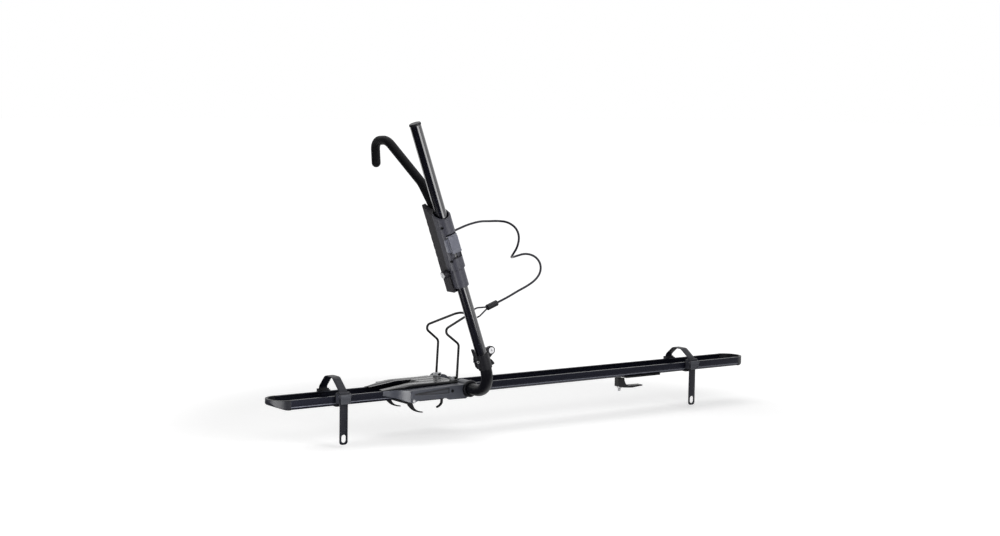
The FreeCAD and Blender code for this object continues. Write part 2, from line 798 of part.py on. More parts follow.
def make_jaws():
    px, pz, boss = S.jaw_pivot_x, S.jaw_pivot_z, S.jaw_boss
    hole = disc(px, pz, S.jaw_pin_radius + S.running_gap)
    tie_x, tie_z = px + 9.5, pz - 12.5
    for label, side in (("near_jaw", NEAR), ("far_jaw", FAR)):
        depth = across(side, S.jaw_inner, S.jaw_inner + S.jaw_thickness)
        jaw = Piece(label).add("XZ", *depth, jaw_outline(px, pz, boss), hole,
                               disc(tie_x, tie_z, S.tie_radius))
        if side == FAR:
            jaw.add("XZ", *depth, [
                (px - 8, pz + 5), (px + 8, pz + 5), (px + 8, SCREW_Z), (px, SCREW_Z + 8, 8),
                (px - 8, SCREW_Z, 8)], disc(px, SCREW_Z, 4.05))
    tie = S.jaw_inner + S.jaw_thickness
    Piece("jaw_tie_bar").add("XZ", -tie, tie, disc(tie_x, tie_z, S.tie_radius))
    nut = Piece("clamp_nut")
    stub = S.jaw_inner + S.jaw_thickness + S.slide_gap
    nut.add("XZ", stub, S.screw_offset + S.nut_length / 2, disc(px, SCREW_Z, S.nut_radius))
    nut.add("XZ", S.jaw_inner, stub + 1, disc(px, SCREW_Z, 4))
    nut.cut("YZ", px - 10, px + 10, disc(S.screw_offset, SCREW_Z, S.clamp_screw_radius + 0.85))
    rear_face = S.pivot_x + S.boss_radius
    screw = Piece("clamp_screw")
    start = px - S.nut_radius - 1.3
    collar = S.pivot_x - S.boss_radius - 7
    screw.turn([(0, start), (2.2, start), (3, start + 0.8), (3, collar - 4), (6.5, collar - 4),
                (6.5, collar - 0.3), (3, collar - 0.3), (3, rear_face + 22), (0, rear_face + 22)])
    screw.place(0, S.screw_offset, SCREW_Z, AXIS_Y, 90)
    knob = Piece("clamp_knob")
    first, last = rear_face + 1.2, rear_face + 1.2 + S.knob_length
    knob.turn([(3, first), (7, first), (7, first + 3), (S.knob_radius, first + 4),
               (S.knob_radius, last - 3), (S.knob_radius - 3, last), (0, last),
               (0, rear_face + 22), (3, rear_face + 22)])
    reach = S.knob_radius + 2
    flutes = [disc(reach * math.cos(math.radians(60 * i)), reach * math.sin(math.radians(60 * i)),
                   as_size(4)) for i in range(6)]
    knob.cut("XY", first + 4, last + 1, *flutes)
    knob.place(0, S.screw_offset, SCREW_Z, AXIS_Y, 90)


# Arm

def make_pivot():
    """Pivot shaft in a bush through the near cheek, flanged outside and clipped inside."""
    outer, inner = CHEEK_OUTER, CHEEK_INNER + 4.7
    face = outer + S.flange_depth
    bore = S.shaft_radius + S.running_gap
    flange = Piece("pivot_flange")
    flange.turn([(bore, outer), (S.flange_radius, outer), (S.flange_radius, face - 2),
                 (S.flange_radius - 2, face), (S.flange_radius - 5, face),
                 (S.flange_radius - 6, face - 2), (bore + 4, face - 2), (bore, face - 2)])
    flange.place(S.pivot_x, 0, S.pivot_z, AXIS_X, 90)
    bush = Piece("pivot_bush")
    bush.turn([(bore, inner), (S.bush_radius, inner), (S.bush_radius, outer), (bore, outer)])
    bush.place(S.pivot_x, 0, S.pivot_z, AXIS_X, 90)
    shaft = Piece("pivot_shaft")
    tail = CHEEK_INNER + 1
    clip = inner - 0.4
    start = face + 0.4
    shaft.turn([(0, tail), (9, tail), (10, tail + 1), (10, clip - 1.4), (8.6, clip - 1.4),
                (8.6, clip), (10, clip), (10, start), (S.elbow_bore, start),
                (S.elbow_bore, start + 16), (0, start + 16)])
    shaft.place(S.pivot_x, 0, S.pivot_z, AXIS_X, 90)
    ring = Piece("pivot_clip")
    ring.turn([(8.7, clip - 1.3), (13.5, clip - 1.3), (13.5, clip - 0.1), (8.7, clip - 0.1)])
    ring.cut("XY", clip - 2, clip + 1, [(0, 3), (-2.4, 15), (2.4, 15)])
    ring.place(S.pivot_x, 0, S.pivot_z, AXIS_X, 90)


def make_arm():
    start = number(CHEEK_OUTER + S.flange_depth) + 0.4
    offset, bend = number(S.arm_offset), number(S.elbow_bend)
    points = [Vector(0, -start, 0), Vector(0, -offset, 0), Vector(0, -offset, number(S.elbow_top))]
    elbow = bent_tube(points, [bend], number(S.elbow_radius), number(S.elbow_bore))
    along_arm(feature("arm_elbow", elbow))
    y, bore = -S.arm_offset, S.tube_radius - S.tube_wall
    tube = Piece("arm_tube")
    tube.add("XY", S.elbow_top, S.tube_top, disc(0, y, S.tube_radius), disc(0, y, bore))
    along_arm(tube)
    cap = Piece("arm_end_cap")
    cap.add("XY", S.tube_top - 14, S.tube_top, disc(0, y, bore - 0.1))
    cap.add("XY", S.tube_top, S.tube_top + S.end_cap_height, disc(0, y, S.tube_radius + 0.6))
    top = number(S.tube_top + S.end_cap_height)
    cap.soften("Fillet", as_size(2.4), lambda edge, middle: abs(middle.z - top) < 0.01)
    along_arm(cap)


def make_collar():
    """Clamp collar over the joint of elbow and tube, with a split front and a lock at the rear."""
    low, high, y = S.collar_bottom, S.collar_top, -S.arm_offset
    collar = Piece("arm_collar")
    radius, bezel = S.collar_radius, S.lock_bezel
    lock_x, lock_z = radius + S.lock_reach, high - S.lock_drop
    collar.add("XY", low, high, disc(0, y, radius))
    collar.add("XZ", y - 5.5, y + 5.5, [
        (-10, low + 6), (-radius - 3, low + 6), (-radius - 7.5, low + 14), (-radius - 7.5, high - 6),
        (-radius - 5, high), (-radius - 6, high + 21), (-radius - 2.5, high + 22), (-radius, high),
        (-10, high)])
    collar.add("XZ", y - 7, y + 7, [
        (10, low + 1), (radius + 7.5, low + 2.5), (radius + 8.3, low + 5), (radius + 3.5, low + 16),
        (radius - 1, low + 22), (10, low + 22)])
    collar.add("XZ", y - 5, y + 5, [
        (10, high - 24), (radius, high - 20), (lock_x, lock_z - bezel),
        (lock_x + bezel, lock_z, bezel), (lock_x, lock_z + bezel, bezel),
        (radius - 2, lock_z + bezel), (10, high)])
    collar.cut("XY", low - 1, S.elbow_top, disc(0, y, S.elbow_radius + 0.02))
    collar.cut("XY", S.elbow_top, high + 30, disc(0, y, S.tube_radius + 0.02))
    collar.cut("XY", low - 1, high + 1, rectangle(-radius - 10, -5, y - 1, y + 1))
    collar.cut("XZ", y - 6, y + 6, disc(-radius - 3.9, high - 14, 2.1))
    collar.cut("XZ", y - 8, y + 8, disc(lock_x, lock_z, S.lock_radius + S.running_gap))
    along_arm(collar)
    x, z = number(-radius) - 3.9, number(high) - 14
    centre = number(y)
    head = Part.makeCylinder(3.6, 4, Vector(x, centre - 9.6, z), AXIS_Y)
    socket = Part.makeCylinder(1.8, 2.6, Vector(x, centre - 9.6, z), AXIS_Y)
    shank = Part.makeCylinder(2, 15, Vector(x, centre - 5.7, z), AXIS_Y)
    nut = Part.makeCylinder(3.6, 3.4, Vector(x, centre + 5.6, z), AXIS_Y)
    along_arm(feature("collar_screw", head.fuse([shank, nut]).cut(socket)))
    lock = Piece("collar_lock")
    lock.add("XZ", y - 5.4, y + 5.4, disc(lock_x, lock_z, S.lock_radius))
    lock.cut("XZ", y - 6, y - 3.6,
             rectangle(lock_x - 0.8, lock_x + 0.8, lock_z - 3.4, lock_z + 3.4))
    along_arm(lock)


# Hook slider

def slider_half_shell(label, side):
    """One of the two shells; side picks the part outside or inside the split plane."""
    y, split = -S.arm_offset, -S.slider_split
    half, radius = S.slider_half, S.slider_radius
    run = root(radius * radius - half * half)
    inner, corner = -S.slider_inner, 5
    shell = Piece(label)
    if side == NEAR:
        shell.add("XY", S.sleeve_top, S.slider_high_top, [
            (-half, split), (-half, y - run), (0, y - radius, radius), (half, y - run, radius),
            (half, split)])
        sleeve = S.sleeve_radius
        sleeve_run = root(sleeve * sleeve - (half - 4) * (half - 4))
        shell.add("XY", S.sleeve_bottom, S.sleeve_top, [
            (-half + 4, split), (-half + 4, y - sleeve_run), (0, y - sleeve, sleeve),
            (half - 4, y - sleeve_run, sleeve), (half - 4, split)])
    else:
        shell.add("XY", S.slider_bottom, S.slider_high_top, [
            (-half, split), (half, split), (half, inner - corner), (half - corner, inner, corner),
            (-half + corner, inner), (-half, inner - corner, corner)])
    low, high = y - radius - 1, inner + 1
    shell.cut("YZ", -half - 1, half + 1, [
        (low, S.slider_low_top), (inner, S.slider_high_top), (high, S.slider_high_top),
        (high, S.slider_high_top + 5), (low, S.slider_high_top + 5)])
    shell.cut("XY", S.slider_bottom - 1, S.slider_high_top + 1,
              disc(0, y, S.tube_radius + S.slide_gap))
    shell.cut("XY", S.slider_low_top - 14, S.slider_high_top + 1, disc(0, y, S.tube_radius + 4))
    return shell


def make_slider():
    y, half = -S.arm_offset, S.slider_half
    near = slider_half_shell("slider_near_shell", NEAR)
    inner = slider_half_shell("slider_inner_shell", FAR)
    stem = disc(S.stem_forward, -S.stem_offset, S.hook_core + 0.02)
    inner.cut("XY", S.stem_bottom, S.slider_high_top + 1, stem)
    inner.cut("XY", S.slider_low_top - 6, S.slider_high_top + 1,
              disc(S.stem_forward, -S.stem_offset, S.hook_radius + 0.4))
    port = disc(-S.stem_offset, S.plug_height, 4.02)
    inner.cut("YZ", half - 8, half + 1, port)
    lug_y = y + S.tube_radius + 5.5
    lug_left, lug_right = S.eye_post_forward - 12, S.eye_post_forward - 1
    inner.cut("XY", S.slider_bottom - 1, S.slider_bottom + 12,
              rectangle(lug_left - 0.05, lug_right + 0.05, lug_y - 0.05, lug_y + 4.05))
    inner.cut("XY", S.slider_low_top + 4, S.slider_high_top + 1, rectangle(
        S.stem_forward - S.hook_radius - 0.4, S.stem_forward + S.hook_radius + 0.4,
        -S.stem_offset, 1 - S.slider_inner))
    face = y - S.slider_radius
    near.cut("XZ", face - 1, face + 8.5,
             rectangle(-S.lever_half - 0.6, S.lever_half + 0.6, S.lever_bottom - 16, S.lever_top + 1))
    screw_x, screw_heights = S.slider_screw_forward, (S.slider_screw_high, S.slider_screw_low)
    for u in screw_heights:
        near.cut("XZ", face - 1, face + 12.2, disc(screw_x, u, 3.4))
    for body in (near, inner):
        for u in screw_heights:
            body.cut("XZ", face + 1, -S.slider_inner - 8, disc(screw_x, u, 1.55))
    lock_u, lock_y, lock = S.sleeve_top - 9, -S.slider_split + 7.5, S.slider_lock_radius
    inner.add("YZ", -half - 14, -half + 1, disc(lock_y, lock_u, lock + 2.5))
    inner.cut("YZ", -half - 15, -half + 3, disc(lock_y, lock_u, lock + S.running_gap))
    grip_reach = S.grip_radius - S.grip_depth
    grips = [disc(-half - grip_reach, S.grip_start + S.grip_pitch * i, S.grip_radius)
             for i in range(GRIP_COUNT)]
    inner.cut("XZ", -S.slider_inner - 7, -S.slider_inner + 1, *grips)
    along_arm(near)
    along_arm(inner)
    screws = []
    for u in screw_heights:
        head = Part.makeCylinder(3.1, 2.8, point(screw_x, face + 9.4, u), AXIS_Y)
        socket = Part.makeCylinder(1.4, 1.8, point(screw_x, face + 9.4, u), AXIS_Y)
        length = number(-S.slider_inner - face) - 25
        shank = Part.makeCylinder(1.5, length, point(screw_x, face + 12.1, u), AXIS_Y)
        screws.append(head.fuse(shank).cut(socket))
    along_arm(feature("slider_screws", Part.makeCompound(screws)))
    barrel = Piece("slider_lock")
    barrel.add("YZ", -half - 16, -half + 2.8, disc(lock_y, lock_u, lock))
    barrel.cut("YZ", -half - 17, -half - 14.4,
               rectangle(lock_y - 0.8, lock_y + 0.8, lock_u - 3.4, lock_u + 3.4))
    along_arm(barrel)


def make_release_lever():
    """Pull lever in the near shell's pocket: it turns on a pin at its top end."""
    face = -S.arm_offset - S.slider_radius
    half, top, low = S.lever_half, S.lever_top, S.lever_bottom
    pin_u, pin_y = top - 5, face + 3.2
    lever = Piece("release_lever")
    lever.add("YZ", -half, half, [
        (face + 1, top - 3), (face - 2.4, top - 12, 30), (face - 2.4, low + 8), (face - 4, low),
        (face - 1, low - 1.5), (face + 2.6, low + 6), (face + 4.6, top - 14),
        (pin_y + 3, pin_u, 8), (pin_y, pin_u + 3, 3)])
    lever.cut("YZ", -half - 1, half + 1, disc(pin_y, pin_u, as_size(1.55)))
    along_arm(lever)
    pin = Piece("lever_pin")
    pin.add("YZ", -half - 3, half + 3, disc(pin_y, pin_u, as_size(1.5)))
    along_arm(pin)


def make_hook():
    """Padded hook that leaves the slider beside the arm and bends over the wheel's rim."""
    x, y, core = number(S.stem_forward), -number(S.stem_offset), number(S.hook_core)
    base = number(S.stem_bottom)
    points = [Vector(x, y, base), Vector(x, y, 520), Vector(x, -140, 592), Vector(x, -31, 706),
              Vector(x - 4, 24, 704), Vector(x - 12, 38, 644)]
    bends = [60, 50, 40, 32]
    along_arm(feature("hook_bar", bent_tube(points, bends, core)))
    cover_start = Vector(x, y, number(S.slider_low_top) - 5)
    cover_points = [cover_start] + points[1:]
    cover = bent_tube(cover_points, bends, number(S.hook_radius), core + 0.02)
    along_arm(feature("hook_sleeve", cover))
    end = points[-1]
    way = (points[-1] - points[-2]).normalize()
    tip = Part.makeSphere(number(S.hook_radius), end)
    half_space = Part.makeCylinder(40, 40, end, way)
    along_arm(feature("hook_tip", tip.common(half_space)))


# Security cable

# The cable's route keeps the turn that it makes about a bicycle's frame, to the near side of the
# tray, so that it stays clear when the arm folds.
CABLE_POINTS = [
    (1.7, -165, 455.1), (36, -166, 468.5), (73, -160, 476.5), (109, -147, 479), (142, -133, 477),
    (170, -131, 477), (192, -147, 475), (204, -170, 461), (203, -188, 438), (196, -189, 410),
    (194, -170, 388), (206, -146, 378), (232, -132, 380), (262, -134, 387), (288, -142, 380),
    (303, -149, 361), (301, -154, 337), (282, -158, 317), (253, -160, 302), (219, -160.5, 289),
    (182.9, -160, 272.4), (145.2, -160, 258.9)]


def smooth_bends(points):
    """The widest bend at each inner point that leaves a tenth of the shorter run straight."""
    bends = []
    for before, corner, after in zip(points, points[1:], points[2:]):
        back, ahead = corner - before, after - corner
        half_turn = back.getAngle(ahead) / 2
        bends.append(0.45 * min(back.Length, ahead.Length) / math.tan(half_turn))
    return bends


def make_cable():
    """Steel cable: plugged into the slider at one end, its eye held on a post at the other."""
    y, rear, wire = -160, S.slider_half, number(S.eye_wire)
    points = [Vector(*p) for p in CABLE_POINTS]
    bends = smooth_bends(points)
    feature("cable", bent_tube(points, bends, number(S.cable_radius)))
    plug = Piece("cable_plug")
    port = (-S.stem_offset, S.plug_height)
    plug.add("YZ", rear, rear + 12, disc(*port, as_size(6.5)), disc(*port, S.cable_radius + 0.02))
    plug.add("YZ", rear - 8, rear + 4, disc(*port, as_size(4)))
    along_arm(plug)
    ferrule = Piece("cable_ferrule")
    left, height, strand = S.ferrule_start, S.ferrule_height, wire + 1.2
    right = left + S.ferrule_length
    ferrule.add("YZ", left, right, disc(y, height, S.ferrule_radius))
    ferrule.cut("YZ", right - 12, right + 1, disc(y, height, S.cable_radius + 0.02))
    ferrule.cut("YZ", left - 1, left + 12, disc(y, height + strand, wire + 0.02),
                disc(y, height - strand, wire + 0.02))
    ferrule.soften("Chamfer", as_size(1), lambda edge, middle: edge.Length > 40)
    along_arm(ferrule)
    post, centre, start = number(S.eye_post), number(S.eye_post_forward), number(left)
    spread = post + wire + 0.1
    upper = [Vector(start + 12, y, strand), Vector(start - 4, y, strand),
             Vector(start - 29, y, spread), Vector(centre - spread, y, spread)]
    lower = [Vector(p.x, p.y, -p.z) for p in reversed(upper)]
    route = [p + Vector(0, 0, number(height)) for p in upper + lower]
    bends = [16, 16, spread - 0.01, spread - 0.01, 16, 16]
    along_arm(feature("cable_eye", bent_tube(route, bends, wire)))
    lug_y = -S.arm_offset + S.tube_radius + 5.5
    anchor = Piece("cable_anchor")
    anchor.add("XZ", lug_y, lug_y + 4, rectangle(
        S.eye_post_forward - 12, S.eye_post_forward - 1, height, S.slider_bottom + 12))
    anchor.add("XZ", lug_y, lug_y + 19, disc(S.eye_post_forward, height, S.eye_post))
    anchor.add("XZ", lug_y + 19, lug_y + 21, disc(S.eye_post_forward, height, S.eye_post + 1.5))
    along_arm(anchor)


# Wheel straps

def ribbon(points, bends, thickness):
    """Outline of a band of even thickness that follows a bent line."""
    half = thickness / 2
    start_way = (points[1] - points[0]).normalize()
    across_way = Vector(-start_way.y, start_way.x, 0)
    right = [points[0] - across_way * half]
    left = [points[0] + across_way * half]
    right_bends, left_bends = [None], [None]
    for before, corner, after, bend in zip(points, points[1:], points[2:], bends):
        back, ahead = (before - corner).normalize(), (after - corner).normalize()
        half_turn = (math.pi - back.getAngle(ahead)) / 2
        reach = bend * math.tan(half_turn)
        turn = 1 if (-back.x * ahead.y + back.y * ahead.x) > 0 else -1
        for way, at in ((-back, corner + back * reach), (ahead, corner + ahead * reach)):
            across_way = Vector(-way.y, way.x, 0)
            right.append(at - across_way * half)
            left.append(at + across_way * half)
        right_bends += [None, turn * (bend + turn * half)]
        left_bends += [None, turn * (bend - turn * half)]
    end_way = (points[-1] - points[-2]).normalize()
    across_way = Vector(-end_way.y, end_way.x, 0)
    right.append(points[-1] - across_way * half)
    left.append(points[-1] + across_way * half)
    right_bends.append(None)
    left_bends.append(None)
    outline = [(p.x, p.y) if r is None else (p.x, p.y, r) for p, r in zip(right, right_bends)]
    for i in range(len(left) - 1, -1, -1):
        bend = left_bends[i + 1] if i + 1 < len(left) else None
        outline.append((left[i].x, left[i].y) if bend is None else (left[i].x, left[i].y, -bend))
    return outline


def make_strap_set(name, x, arch_top):
    """Strap with its carrier about the tray, a buckle on the near side and a hanging tail."""
    gap, wall = S.slide_gap, S.carrier_wall
    inner, half = HALF_TRAY + gap, S.carrier_length / 2
    low, rim = S.tray_base - gap, TRAY_TOP + gap
    carrier = Piece(name + "_strap_carrier")
    carrier.add("YZ", -half, half, [
        (-inner - wall, low - wall + 0.6), (inner + wall, low - wall + 0.6),
        (inner + wall, rim + wall), (inner - 5, rim + wall), (inner - 5, rim), (inner, rim),
        (inner, low), (-inner, low), (-inner, rim), (-inner + 5, rim), (-inner + 5, rim + wall),
        (-inner - wall, rim + wall)])
    post = inner + wall
    slot_half = S.strap_width / 2 + 0.4
    carrier.add("XY", 12, 36, [
        (-slot_half - 3.5, post - 1), (slot_half + 3.5, post - 1), (slot_half + 3.5, post + 7.4),
        (-slot_half - 3.5, post + 7.4)])
    carrier.cut("XY", 14, 37, rectangle(-slot_half, slot_half, post + 0.6, post + 4.4))
    strap_half, thick = S.strap_width / 2, number(S.strap_thickness)
    side, far = number(S.strap_side), number(post) + 2.5
    arch = arch_top - thick / 2
    points = [Vector(far, 15, 0), Vector(far, 42, 0), Vector(20, arch, 0), Vector(-16, arch, 0),
              Vector(-side + 4, 42, 0), Vector(-side, 28, 0), Vector(-side, number(S.strap_tail), 0)]
    strap = Piece(name + "_strap")
    strap.add("YZ", -strap_half, strap_half, ribbon(points, [14, 18, 16, 16, 30], thick))
    tail = S.strap_tail
    strap.cut("XZ", -S.strap_side - 3, -S.strap_side + 3,
              rounded(-7, 7, tail + 5.5, tail + 26.5, 6.5))
    end, corner = number(tail), number(strap_half)
    strap.soften("Fillet", as_size(8), lambda edge, middle: abs(middle.z - end) < 0.1
                 and edge.Length < thick + 0.1 and abs(abs(middle.x) - corner) < 0.1)
    pin_y, pin_z = -S.strap_side - 7.2, S.buckle_pin_z
    frame_low, frame_high = 12, pin_z - 7
    ears = S.strap_width / 2 + 2
    buckle = Piece(name + "_buckle")
    buckle.add("XZ", -S.strap_side - 5, -post, rectangle(-ears - 4, ears + 4, frame_low, frame_high))
    for way in (NEAR, FAR):
        left, right = (ears + 0.6, ears + 4) if way == FAR else (-ears - 4, -ears - 0.6)
        buckle.add("YZ", left, right, [
            (-post, frame_low + 4), (-post, pin_z + 8), (pin_y, pin_z + 4.5),
            (pin_y - 4.5, pin_z, 4.5), (pin_y, pin_z - 4.5, 4.5), (-S.strap_side - 5, frame_high - 4)],
            disc(pin_y, pin_z, as_size(1.55)))
    slot_in = S.strap_width / 2 + 0.4
    buckle.cut("XY", frame_low - 1, frame_high + 1,
               rectangle(-slot_in, slot_in, -S.strap_side - 2, -S.strap_side + 2))
    keeper_low, keeper_high = pin_z + 5, pin_z + 10
    buckle.add("XY", keeper_low, keeper_high, rectangle(-ears, ears, -S.strap_side - 5.5, -post))
    buckle.add("XY", keeper_low, pin_z + 8, rectangle(ears - 1, ears + 4, -S.strap_side - 1, -post))
    buckle.add("XY", keeper_low, pin_z + 8, rectangle(-ears - 4, 1 - ears, -S.strap_side - 1, -post))
    buckle.cut("XY", keeper_low - 1, keeper_high + 1,
               rectangle(-slot_in, slot_in, -S.strap_side - 2.5, -S.strap_side + 7.4))
    lever = Piece(name + "_buckle_lever")
    lever.add("YZ", -ears, ears, lever_outline(pin_y, pin_z), disc(pin_y, pin_z, 1.55))
    face = pin_y - 4.5
    lever.cut("XZ", face - 1, face + 1, rectangle(3 - ears, ears - 3, 14.5, 19.5),
              rectangle(3 - ears, ears - 3, 22, 26))
    pin = Piece(name + "_buckle_pin")
    pin.add("YZ", -ears - 4.4, ears + 4.4, disc(pin_y, pin_z, as_size(1.5)))
    for piece in (carrier, strap, buckle, lever, pin):
        piece.place(x, 0, 0)


def lever_outline(pin_y, pin_z):
    """Cam about the pin with a paddle that hangs over the buckle."""
    cam = 4.5
    return [(pin_y - cam, pin_z, cam), (pin_y - cam, 14), (pin_y - 7, 11), (pin_y - 4, 10.5),
            (pin_y - 2, 14), (pin_y - 2, pin_z - 5.6), (pin_y, pin_z - cam),
            (pin_y + cam, pin_z, cam), (pin_y, pin_z + cam, cam)]


# Rear clamp

def make_rear_clamp():
    """Rubber-faced pad above the rear bar and a hooked jaw below it, drawn up by one bolt."""
    bolt_x, bar, radius = S.rear_bolt_x, S.rear_bar_x, S.rear_bolt_radius
    front = bolt_x - 3
    pad = Piece("rear_pad")
    pad.add("XY", 0, S.tray_base - S.running_gap,
            rounded(front, bar + 66, -HALF_TRAY, HALF_TRAY, 4), disc(bolt_x + 8, 0, radius + 0.5))
    bolt = Piece("rear_bolt")
    head_low = FLOOR_TOP + S.running_gap
    head_half = S.slot_width / 2 - 0.5
    bolt.add("XY", head_low, head_low + S.slot_height - 0.5,
             rectangle(bolt_x + 1, bolt_x + 15, -head_half, head_half))
    bolt.add("XY", -44, head_low + 1, disc(bolt_x + 8, 0, radius))
    jaw = Piece("rear_jaw")
    jaw.add("XZ", -S.rear_jaw_half, S.rear_jaw_half, [
        (bolt_x - 3, -6), (bolt_x + 18, -6), (bolt_x + 19, -14), (bolt_x + 24, -24),
        (bolt_x + 34, -29.5), (bar + 26, -30.5), (bar + 26, -33.5), (bolt_x + 48, -36.5),
        (bolt_x + 16, -34), (bolt_x - 3, -30)])
    jaw.cut("XY", -40, 0, disc(bolt_x + 8, 0, radius + 0.1))
    jaw.cut("XY", -40, -28, disc(bolt_x + 8, 0, as_size(8.2)))
    face, half = number(bolt_x) - 3, number(S.rear_jaw_half)
    jaw.soften("Fillet", as_size(4), lambda edge, middle: abs(middle.x - face) < 0.1
               and abs(abs(middle.y) - half) < 0.1)
    nut = Piece("rear_nut")
    corner = 7.5
    hexagon = [(bolt_x + 8 + corner * math.cos(math.radians(60 * i)),
                as_size(corner * math.sin(math.radians(60 * i)))) for i in range(6)]
    nut.add("XY", -35, -28, hexagon, disc(bolt_x + 8, 0, radius + 0.05))


def build_all():
    make_tray()
    make_end_cap("front_end_cap", S.tray_front, S.front_cap_length, -1)
    make_end_cap("rear_end_cap", TRAY_REAR, S.rear_cap_length, 1)
    make_cheek("near_cheek", NEAR)
    make_cheek("far_cheek", FAR)
    make_saddle()
    make_saddle_parts()
    make_cradle()
    make_hoop()
    make_jaws()
    make_pivot()
    make_arm()
    make_collar()
    make_slider()
    make_release_lever()
    make_hook()
    make_cable()
    make_strap_set("front", S.front_strap_x, number(S.front_strap_top))
    make_strap_set("rear", S.rear_strap_x, number(S.rear_strap_top))
    make_rear_clamp()


def export_all():
    """Stops if anything failed, then writes one file for each piece."""
    doc.recompute()
    for thing in doc.Objects:
        if "Invalid" in thing.State or "Error" in thing.State:
            raise RuntimeError(f"{thing.Label} failed: {thing.State}")
    for node in NODES:
        if node.Shape.isNull() or not node.Shape.isValid():
            raise RuntimeError(f"{node.Label} has no valid shape")
    os.makedirs("parts", exist_ok=True)
    for node in NODES:
        node.Shape.exportStep(f"parts/{node.Label}.step")
    print(f"{len(NODES)} pieces written")


build_all()
export_all()
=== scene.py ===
import json
import math

import bmesh
import bpy
from mathutils import Matrix, Vector


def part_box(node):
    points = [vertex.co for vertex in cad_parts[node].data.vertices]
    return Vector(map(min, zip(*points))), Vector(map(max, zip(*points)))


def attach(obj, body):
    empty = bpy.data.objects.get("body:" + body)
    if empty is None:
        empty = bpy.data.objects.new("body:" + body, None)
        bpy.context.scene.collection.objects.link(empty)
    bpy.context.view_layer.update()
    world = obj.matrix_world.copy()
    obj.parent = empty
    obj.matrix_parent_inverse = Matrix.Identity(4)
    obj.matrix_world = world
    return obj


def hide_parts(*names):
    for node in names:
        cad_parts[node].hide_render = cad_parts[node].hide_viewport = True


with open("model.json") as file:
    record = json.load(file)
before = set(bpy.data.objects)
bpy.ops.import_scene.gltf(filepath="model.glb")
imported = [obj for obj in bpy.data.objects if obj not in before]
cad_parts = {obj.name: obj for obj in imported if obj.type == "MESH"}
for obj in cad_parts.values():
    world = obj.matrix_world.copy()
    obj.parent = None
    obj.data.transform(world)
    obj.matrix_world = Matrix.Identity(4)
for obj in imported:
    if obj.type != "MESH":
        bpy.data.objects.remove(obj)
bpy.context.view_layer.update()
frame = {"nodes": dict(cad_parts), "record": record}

NODES = frame["nodes"]
scene = bpy.context.scene
scene.view_settings.view_transform = "Standard"

# The arm leans to the front from its pivot, in metres; its tube stands ARM_ACROSS millimetres
# to the near side of the tray
LEAN = math.radians(19.7)
PIVOT = Vector((0.120, 0.0, 0.0237))
ALONG = Vector((-math.sin(LEAN), 0, math.cos(LEAN)))
REARWARD = Vector((math.cos(LEAN), 0, math.sin(LEAN)))
ARM_ACROSS = -195

FLOOR = -0.106

# Angle from which an edge of a smooth mesh is drawn sharp
SHARP = math.radians(40)


def on_arm(rear, y, up):
    """Point given in millimetres along the arm's own axes, from its pivot."""
    return PIVOT + (REARWARD * rear + Vector((0, y, 0)) + ALONG * up) / 1000


# Objects and meshes

def put_in_scene(name, data):
    thing = bpy.data.objects.new(name, data)
    scene.collection.objects.link(thing)
    return thing


def set_material(thing, material):
    thing.data.materials.clear()
    thing.data.materials.append(material)


def join_rows(form, rows, closed=True):
    """Faces between each row of corners and the next; a closed row goes round to its start."""
    faces = []
    for row, following in zip(rows, rows[1:]):
        for i in range(0 if closed else 1, len(row)):
            faces.append(form.faces.new((row[i - 1], row[i], following[i], following[i - 1])))
    return faces


def skin_over(form, rows):
    """Skin over closed rows of corners, with a face at each end."""
    faces = join_rows(form, rows) + [form.faces.new(rows[0]), form.faces.new(rows[-1])]
    bmesh.ops.recalc_face_normals(form, faces=faces)
    return faces


def take_mesh(form, name):
    """Turns a finished bmesh into a mesh."""
    mesh = bpy.data.meshes.new(name)
    form.to_mesh(mesh)
    form.free()
    return mesh


def take_smooth_mesh(form, faces, name):
    """Turns a finished bmesh into a mesh whose given faces are smooth between sharp edges."""
    for face in faces:
        face.smooth = True
    mesh = take_mesh(form, name)
    mesh.set_sharp_from_angle(angle=SHARP)
    return mesh


def subtract(thing, cutter_mesh):
    """Takes one mesh out of an object and keeps the result."""
    cutter = put_in_scene("cutter", cutter_mesh)
    carve = thing.modifiers.new("carve", "BOOLEAN")
    carve.operation, carve.solver, carve.object = "DIFFERENCE", "EXACT", cutter
    shape = thing.evaluated_get(bpy.context.evaluated_depsgraph_get())
    thing.data = bpy.data.meshes.new_from_object(shape)
    thing.modifiers.clear()
    bpy.data.objects.remove(cutter)


# Camera, with its angles in degrees; it is solved from the photo

CAMERA_PLACE = (-2.6658, -4.1158, 0.828)
CAMERA_ANGLES = 35.55, 5.57, 0.88
CAMERA_LENS, CAMERA_SENSOR = 66.32, 36.0


def add_camera():
    """Adds the camera and returns the way it looks."""
    yaw, pitch, roll = (math.radians(angle) for angle in CAMERA_ANGLES)
    forward = Vector((math.sin(yaw) * math.cos(pitch), math.cos(yaw) * math.cos(pitch),
                      -math.sin(pitch)))
    level = Vector((math.cos(yaw), -math.sin(yaw), 0))
    upright = level.cross(forward)
    right = level * math.cos(roll) + upright * math.sin(roll)
    up = upright * math.cos(roll) - level * math.sin(roll)
    data = bpy.data.cameras.new("camera")
    data.lens, data.sensor_width, data.sensor_fit = CAMERA_LENS, CAMERA_SENSOR, "HORIZONTAL"
    data.clip_end = 100
    camera = put_in_scene("camera", data)
    turn = Matrix((right, up, -forward)).transposed().to_4x4()
    camera.matrix_world = Matrix.Translation(CAMERA_PLACE) @ turn
    scene.camera = camera
    return forward


# Shader nodes

def feed(socket, term):
    """Sets a node's input to a number or colour, or links another node's output to it."""
    if isinstance(term, bpy.types.NodeSocket):
        socket.id_data.links.new(term, socket)
    else:
        socket.default_value = term


